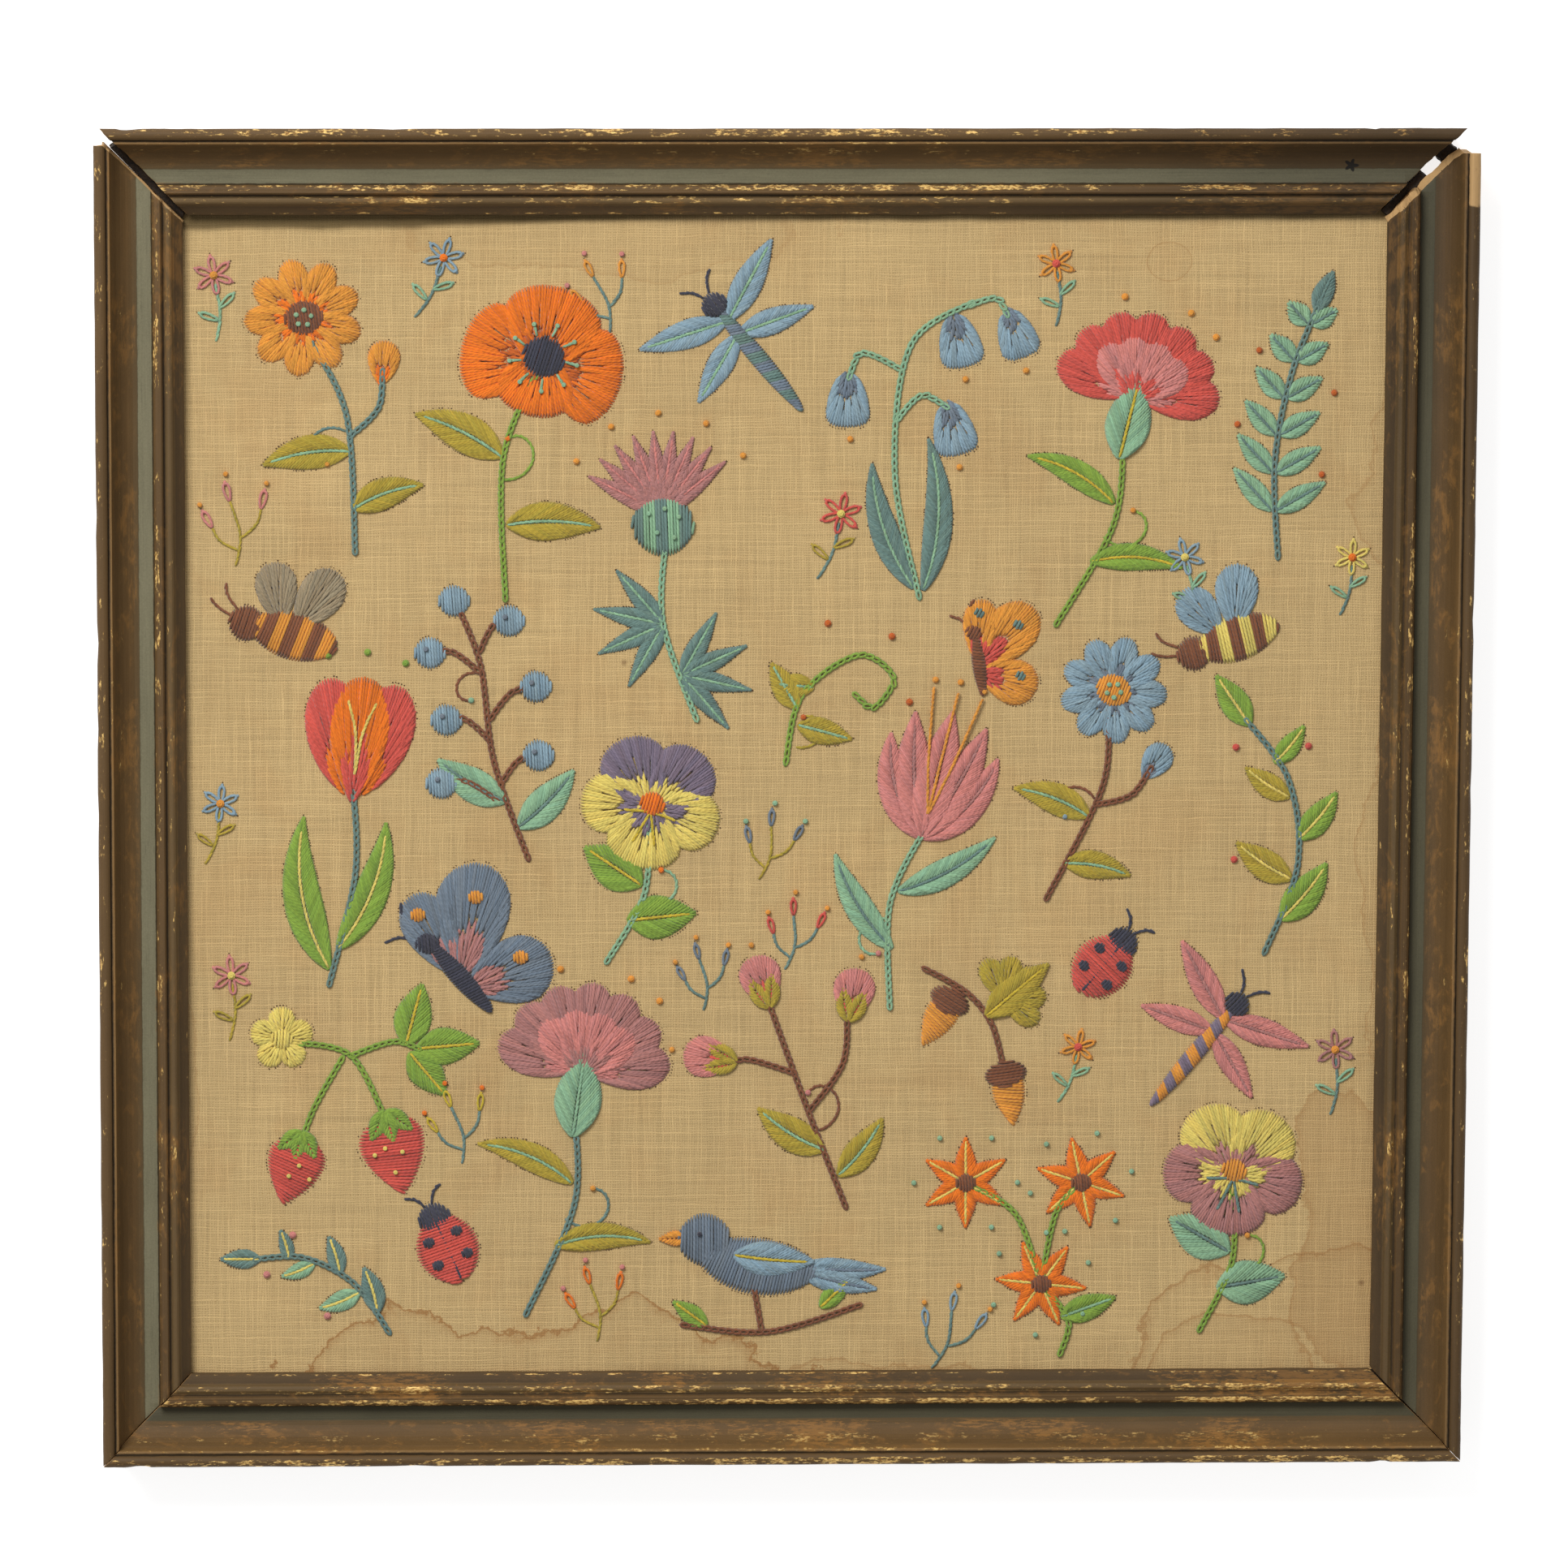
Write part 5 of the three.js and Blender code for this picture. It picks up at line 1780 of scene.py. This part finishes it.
# Small sprigs that fill the ground between the motifs, in three pieces, one for each slot
FILLERS = [
    Motif("sprigs_rose", bloom_sprig, -188, 168, 10, 1.0, "rose", "rose gold gold mint mint mint"),
    Motif("sprigs_rose", bud_sprig, -182, 92, 8, 1.0, "rose", "rose gold gold olive mint olive"),
    Motif("sprigs_rose", bloom_sprig, 18, 88, -12, 1.05, "rose", "coral yellow gold olive mint teal"),
    Motif("sprigs_rose", bloom_sprig, -183, -66, 6, 1.0, "rose", "rose yellow gold olive mint olive"),
    Motif("sprigs_rose", bud_sprig, 4, -46, -6, 0.85, "rose", "coral gold gold mint mint teal"),
    Motif("sprigs_rose", bloom_sprig, 186, -92, 4, 1.0, "rose", "mauve gold gold mint mint teal"),
    Motif("sprigs_blue", bloom_sprig, -115, 174, -18, 1.0, "blue", "blue orange gold mint mint teal"),
    Motif("sprigs_blue", bud_sprig, -4, -16, -10, 0.85, "blue", "slate mint gold olive mint olive"),
    Motif("sprigs_blue", bloom_sprig, 136, 74, 14, 0.95, "blue", "blue yellow gold mint mint mint"),
    Motif("sprigs_blue", bud_sprig, -26, -60, 8, 0.8, "blue", "slate gold gold mint mint teal"),
    Motif("sprigs_blue", bloom_sprig, -188, -8, -6, 0.95, "blue", "blue gold gold olive mint olive"),
    Motif("sprigs_blue", bud_sprig, 56, -180, -16, 0.95, "blue", "blue gold gold mint mint teal"),
    Motif("sprigs_gold", bloom_sprig, 92, 172, 8, 0.95, "gold", "gold coral gold mint mint teal"),
    Motif("sprigs_gold", bud_sprig, -60, 168, 20, 0.9, "gold", "gold rose gold mint mint teal"),
    Motif("sprigs_gold", bloom_sprig, 190, 74, -4, 0.9, "gold", "yellow orange gold mint mint teal"),
    Motif("sprigs_gold", bud_sprig, -108, -110, 14, 0.9, "gold", "mustard orange gold mint mint teal"),
    Motif("sprigs_gold", bloom_sprig, 98, -90, -12, 0.9, "gold", "gold coral gold mint mint mint"),
    Motif("sprigs_gold", bud_sprig, -62, -170, 10, 0.9, "gold", "orange rose gold olive mint olive"),
]


SPRIG_SEED = 100  # the sprigs' random draws start from this number, and a motif's from its place in the list


def placed(mark, x, y, turn, size):
    """Turns and sizes a mark about its motif's own middle, and puts it on the cloth."""
    angle = math.radians(turn)
    cos, sin = size * math.cos(angle), size * math.sin(angle)

    def move(a, b):
        return (x + a * cos - b * sin, y + a * sin + b * cos)

    if isinstance(mark, Line):
        return mark._replace(points=[move(*point) for point in mark.points])
    foot_x, foot_y = move(mark.x, mark.y)
    if isinstance(mark, Knot):
        return mark._replace(x=foot_x, y=foot_y)
    return mark._replace(
        x=foot_x,
        y=foot_y,
        turn=mark.turn + turn,
        length=size * mark.length,
        width=size * mark.width,
    )


def stitched(motifs, seed, sizes, dyes, finish, middle):
    """Works motifs that share a name as one piece."""
    yarn = Yarn(seed, sizes, dyes)
    for motif in motifs:
        wools = Wools(*motif.wools.split())
        for mark in motif.draw(wools):
            yarn.work(placed(mark, motif.x, motif.y, motif.turn, motif.size))
    name = "stitched_" + motifs[0].node
    piece = bpy.data.objects.new(name, yarn.mesh(name, middle))
    bpy.context.scene.collection.objects.link(piece)
    piece.data.materials.append(finish)
    return piece


# Operators


class SAMPLER_OT_frame(bpy.types.Operator):
    """Builds the four worn rails of the frame"""

    bl_idname = "sampler.frame"
    bl_label = "Frame rails"

    def execute(self, context):
        look = context.scene.sampler_frame
        pine = pine_finish(look)
        for plan in rail_plan():
            piece = worn_rail(look, plan)
            piece.data.materials.append(gilt_finish(look, plan))
            piece.data.materials.append(pine)
            carry(piece, "gilt_wood", plan.node)
        finish = mitre_shade_finish()
        for lump in mitre_shade_lumps():
            lump.data.materials.append(finish)
            carry(lump, "gilt_wood")
        return {"FINISHED"}


class SAMPLER_OT_cloth(bpy.types.Operator):
    """Lays the linen over its board and gives the board its finish"""

    bl_idname = "sampler.cloth"
    bl_label = "Linen and board"

    def execute(self, context):
        sheet = linen_sheet(context.scene.sampler_cloth)
        carry(sheet, "linen", "linen")
        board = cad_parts["backing_board"]
        finish = board_finish()
        for slot in board.material_slots:
            slot.material = finish
        return {"FINISHED"}


class SAMPLER_OT_motifs(bpy.types.Operator):
    """Works the wool motifs on the linen, one piece for each motif"""

    bl_idname = "sampler.motifs"
    bl_label = "Wool motifs"

    def execute(self, context):
        colours = context.scene.sampler_wools
        dyes = {name: tuple(getattr(colours, name)) for name in WOOLS}
        finish = wool_finish()
        middle = cloth_middle()
        sizes = context.scene.sampler_stitches
        for seed, motif in enumerate(SAMPLER):
            piece = stitched([motif], seed, sizes, dyes, finish, middle)
            carry(piece, "wool_" + motif.slot, "motif_" + motif.node)
        for seed, slot in enumerate(("rose", "blue", "gold"), start=SPRIG_SEED):
            group = [motif for motif in FILLERS if motif.slot == slot]
            carry(stitched(group, seed, sizes, dyes, finish, middle), "wool_" + slot)
        return {"FINISHED"}


class SAMPLER_OT_stage(bpy.types.Operator):
    """Sets the pale floor, the soft light and the camera"""

    bl_idname = "sampler.stage"
    bl_label = "Stage"

    def execute(self, context):
        look = context.scene.sampler_stage
        context.scene.view_settings.view_transform = "Standard"
        set_camera(context.scene, look)
        set_light(context.scene, look)
        lay_floor()
        return {"FINISHED"}


AIM = Vector((-0.0004, 0.0034, 0.006))  # what the camera looks at
SENSOR_MM = 36
LAMP_PLACE = (-0.9, 1.35, 1.75)
LAMP_SIZE = (1.1, 0.8)
FLOOR_SIZE = 14
FLOOR_GAP = 0.0004  # from the floor to the backs of the rails


def set_camera(scene, look):
    """The view is from a little above and to the left of square on."""
    camera = bpy.data.objects.new("camera", bpy.data.cameras.new("camera"))
    scene.collection.objects.link(camera)
    side = -math.tan(look.aside)
    up = math.tan(look.above)
    away = Vector((side, up, 1)).normalized()
    camera.location = AIM + away * look.distance
    camera.rotation_euler = (upright(away) @ Matrix.Rotation(look.roll, 3, "Z")).to_euler()
    camera.data.sensor_width = SENSOR_MM
    camera.data.lens = SENSOR_MM * look.distance / look.view_width
    camera.data.clip_end = 50
    scene.camera = camera


def upright(away):
    """The turn of a camera or lamp that looks back along away, with the picture's top upwards."""
    right = Vector((0, 1, 0)).cross(away).normalized()
    return Matrix((right, away.cross(right), away)).transposed()


def set_light(scene, look):
    """One large soft lamp at the upper left, and even light from all round."""
    lamp = bpy.data.lights.new("soft_light", "AREA")
    lamp.shape = "RECTANGLE"
    lamp.size = LAMP_SIZE[0]
    lamp.size_y = LAMP_SIZE[1]
    lamp.energy = look.lamp
    light = bpy.data.objects.new("soft_light", lamp)
    light.location = LAMP_PLACE
    light.rotation_euler = upright(light.location.normalized()).to_euler()
    scene.collection.objects.link(light)
    world = bpy.data.worlds.new("studio")
    world.use_nodes = True
    world.node_tree.nodes["Background"].inputs["Color"].default_value = (1, 1, 1, 1)
    world.node_tree.nodes["Background"].inputs["Strength"].default_value = look.sky
    scene.world = world


def lay_floor():
    deselect()
    bpy.ops.mesh.primitive_plane_add(size=FLOOR_SIZE, location=(0, 0, -FLOOR_GAP))
    floor = rename(bpy.context.object, "floor")
    settle(floor)
    floor.data.materials.append(floor_finish())


class SAMPLER_PT_panel(bpy.types.Panel):
    """Lists the steps of the sampler"""

    bl_idname = "SAMPLER_PT_panel"
    bl_label = "Needlework sampler"
    bl_space_type = "VIEW_3D"
    bl_region_type = "UI"
    bl_category = "Sampler"

    def draw(self, context):
        for group in ("frame", "cloth", "stitches", "wools", "stage"):
            settings = getattr(context.scene, "sampler_" + group)
            box = self.layout.box()
            for name in settings.__annotations__:
                box.prop(settings, name)
        for step in STEPS:
            self.layout.operator(step.bl_idname)


SETTINGS = {
    "sampler_frame": FrameLook,
    "sampler_cloth": ClothLook,
    "sampler_stitches": StitchSizes,
    "sampler_wools": WoolColours,
    "sampler_stage": StageLook,
}
STEPS = (SAMPLER_OT_stage, SAMPLER_OT_frame, SAMPLER_OT_cloth, SAMPLER_OT_motifs)
CLASSES = (*SETTINGS.values(), *STEPS, SAMPLER_PT_panel)


def register():
    for cls in CLASSES:
        bpy.utils.register_class(cls)
    for name, group in SETTINGS.items():
        setattr(bpy.types.Scene, name, PointerProperty(type=group))


def unregister():
    for name in SETTINGS:
        delattr(bpy.types.Scene, name)
    for cls in reversed(CLASSES):
        bpy.utils.unregister_class(cls)


def main():
    register()
    bpy.ops.sampler.stage()
    bpy.ops.sampler.frame()
    bpy.ops.sampler.cloth()
    bpy.ops.sampler.motifs()


if __name__ == "__main__":
    main()
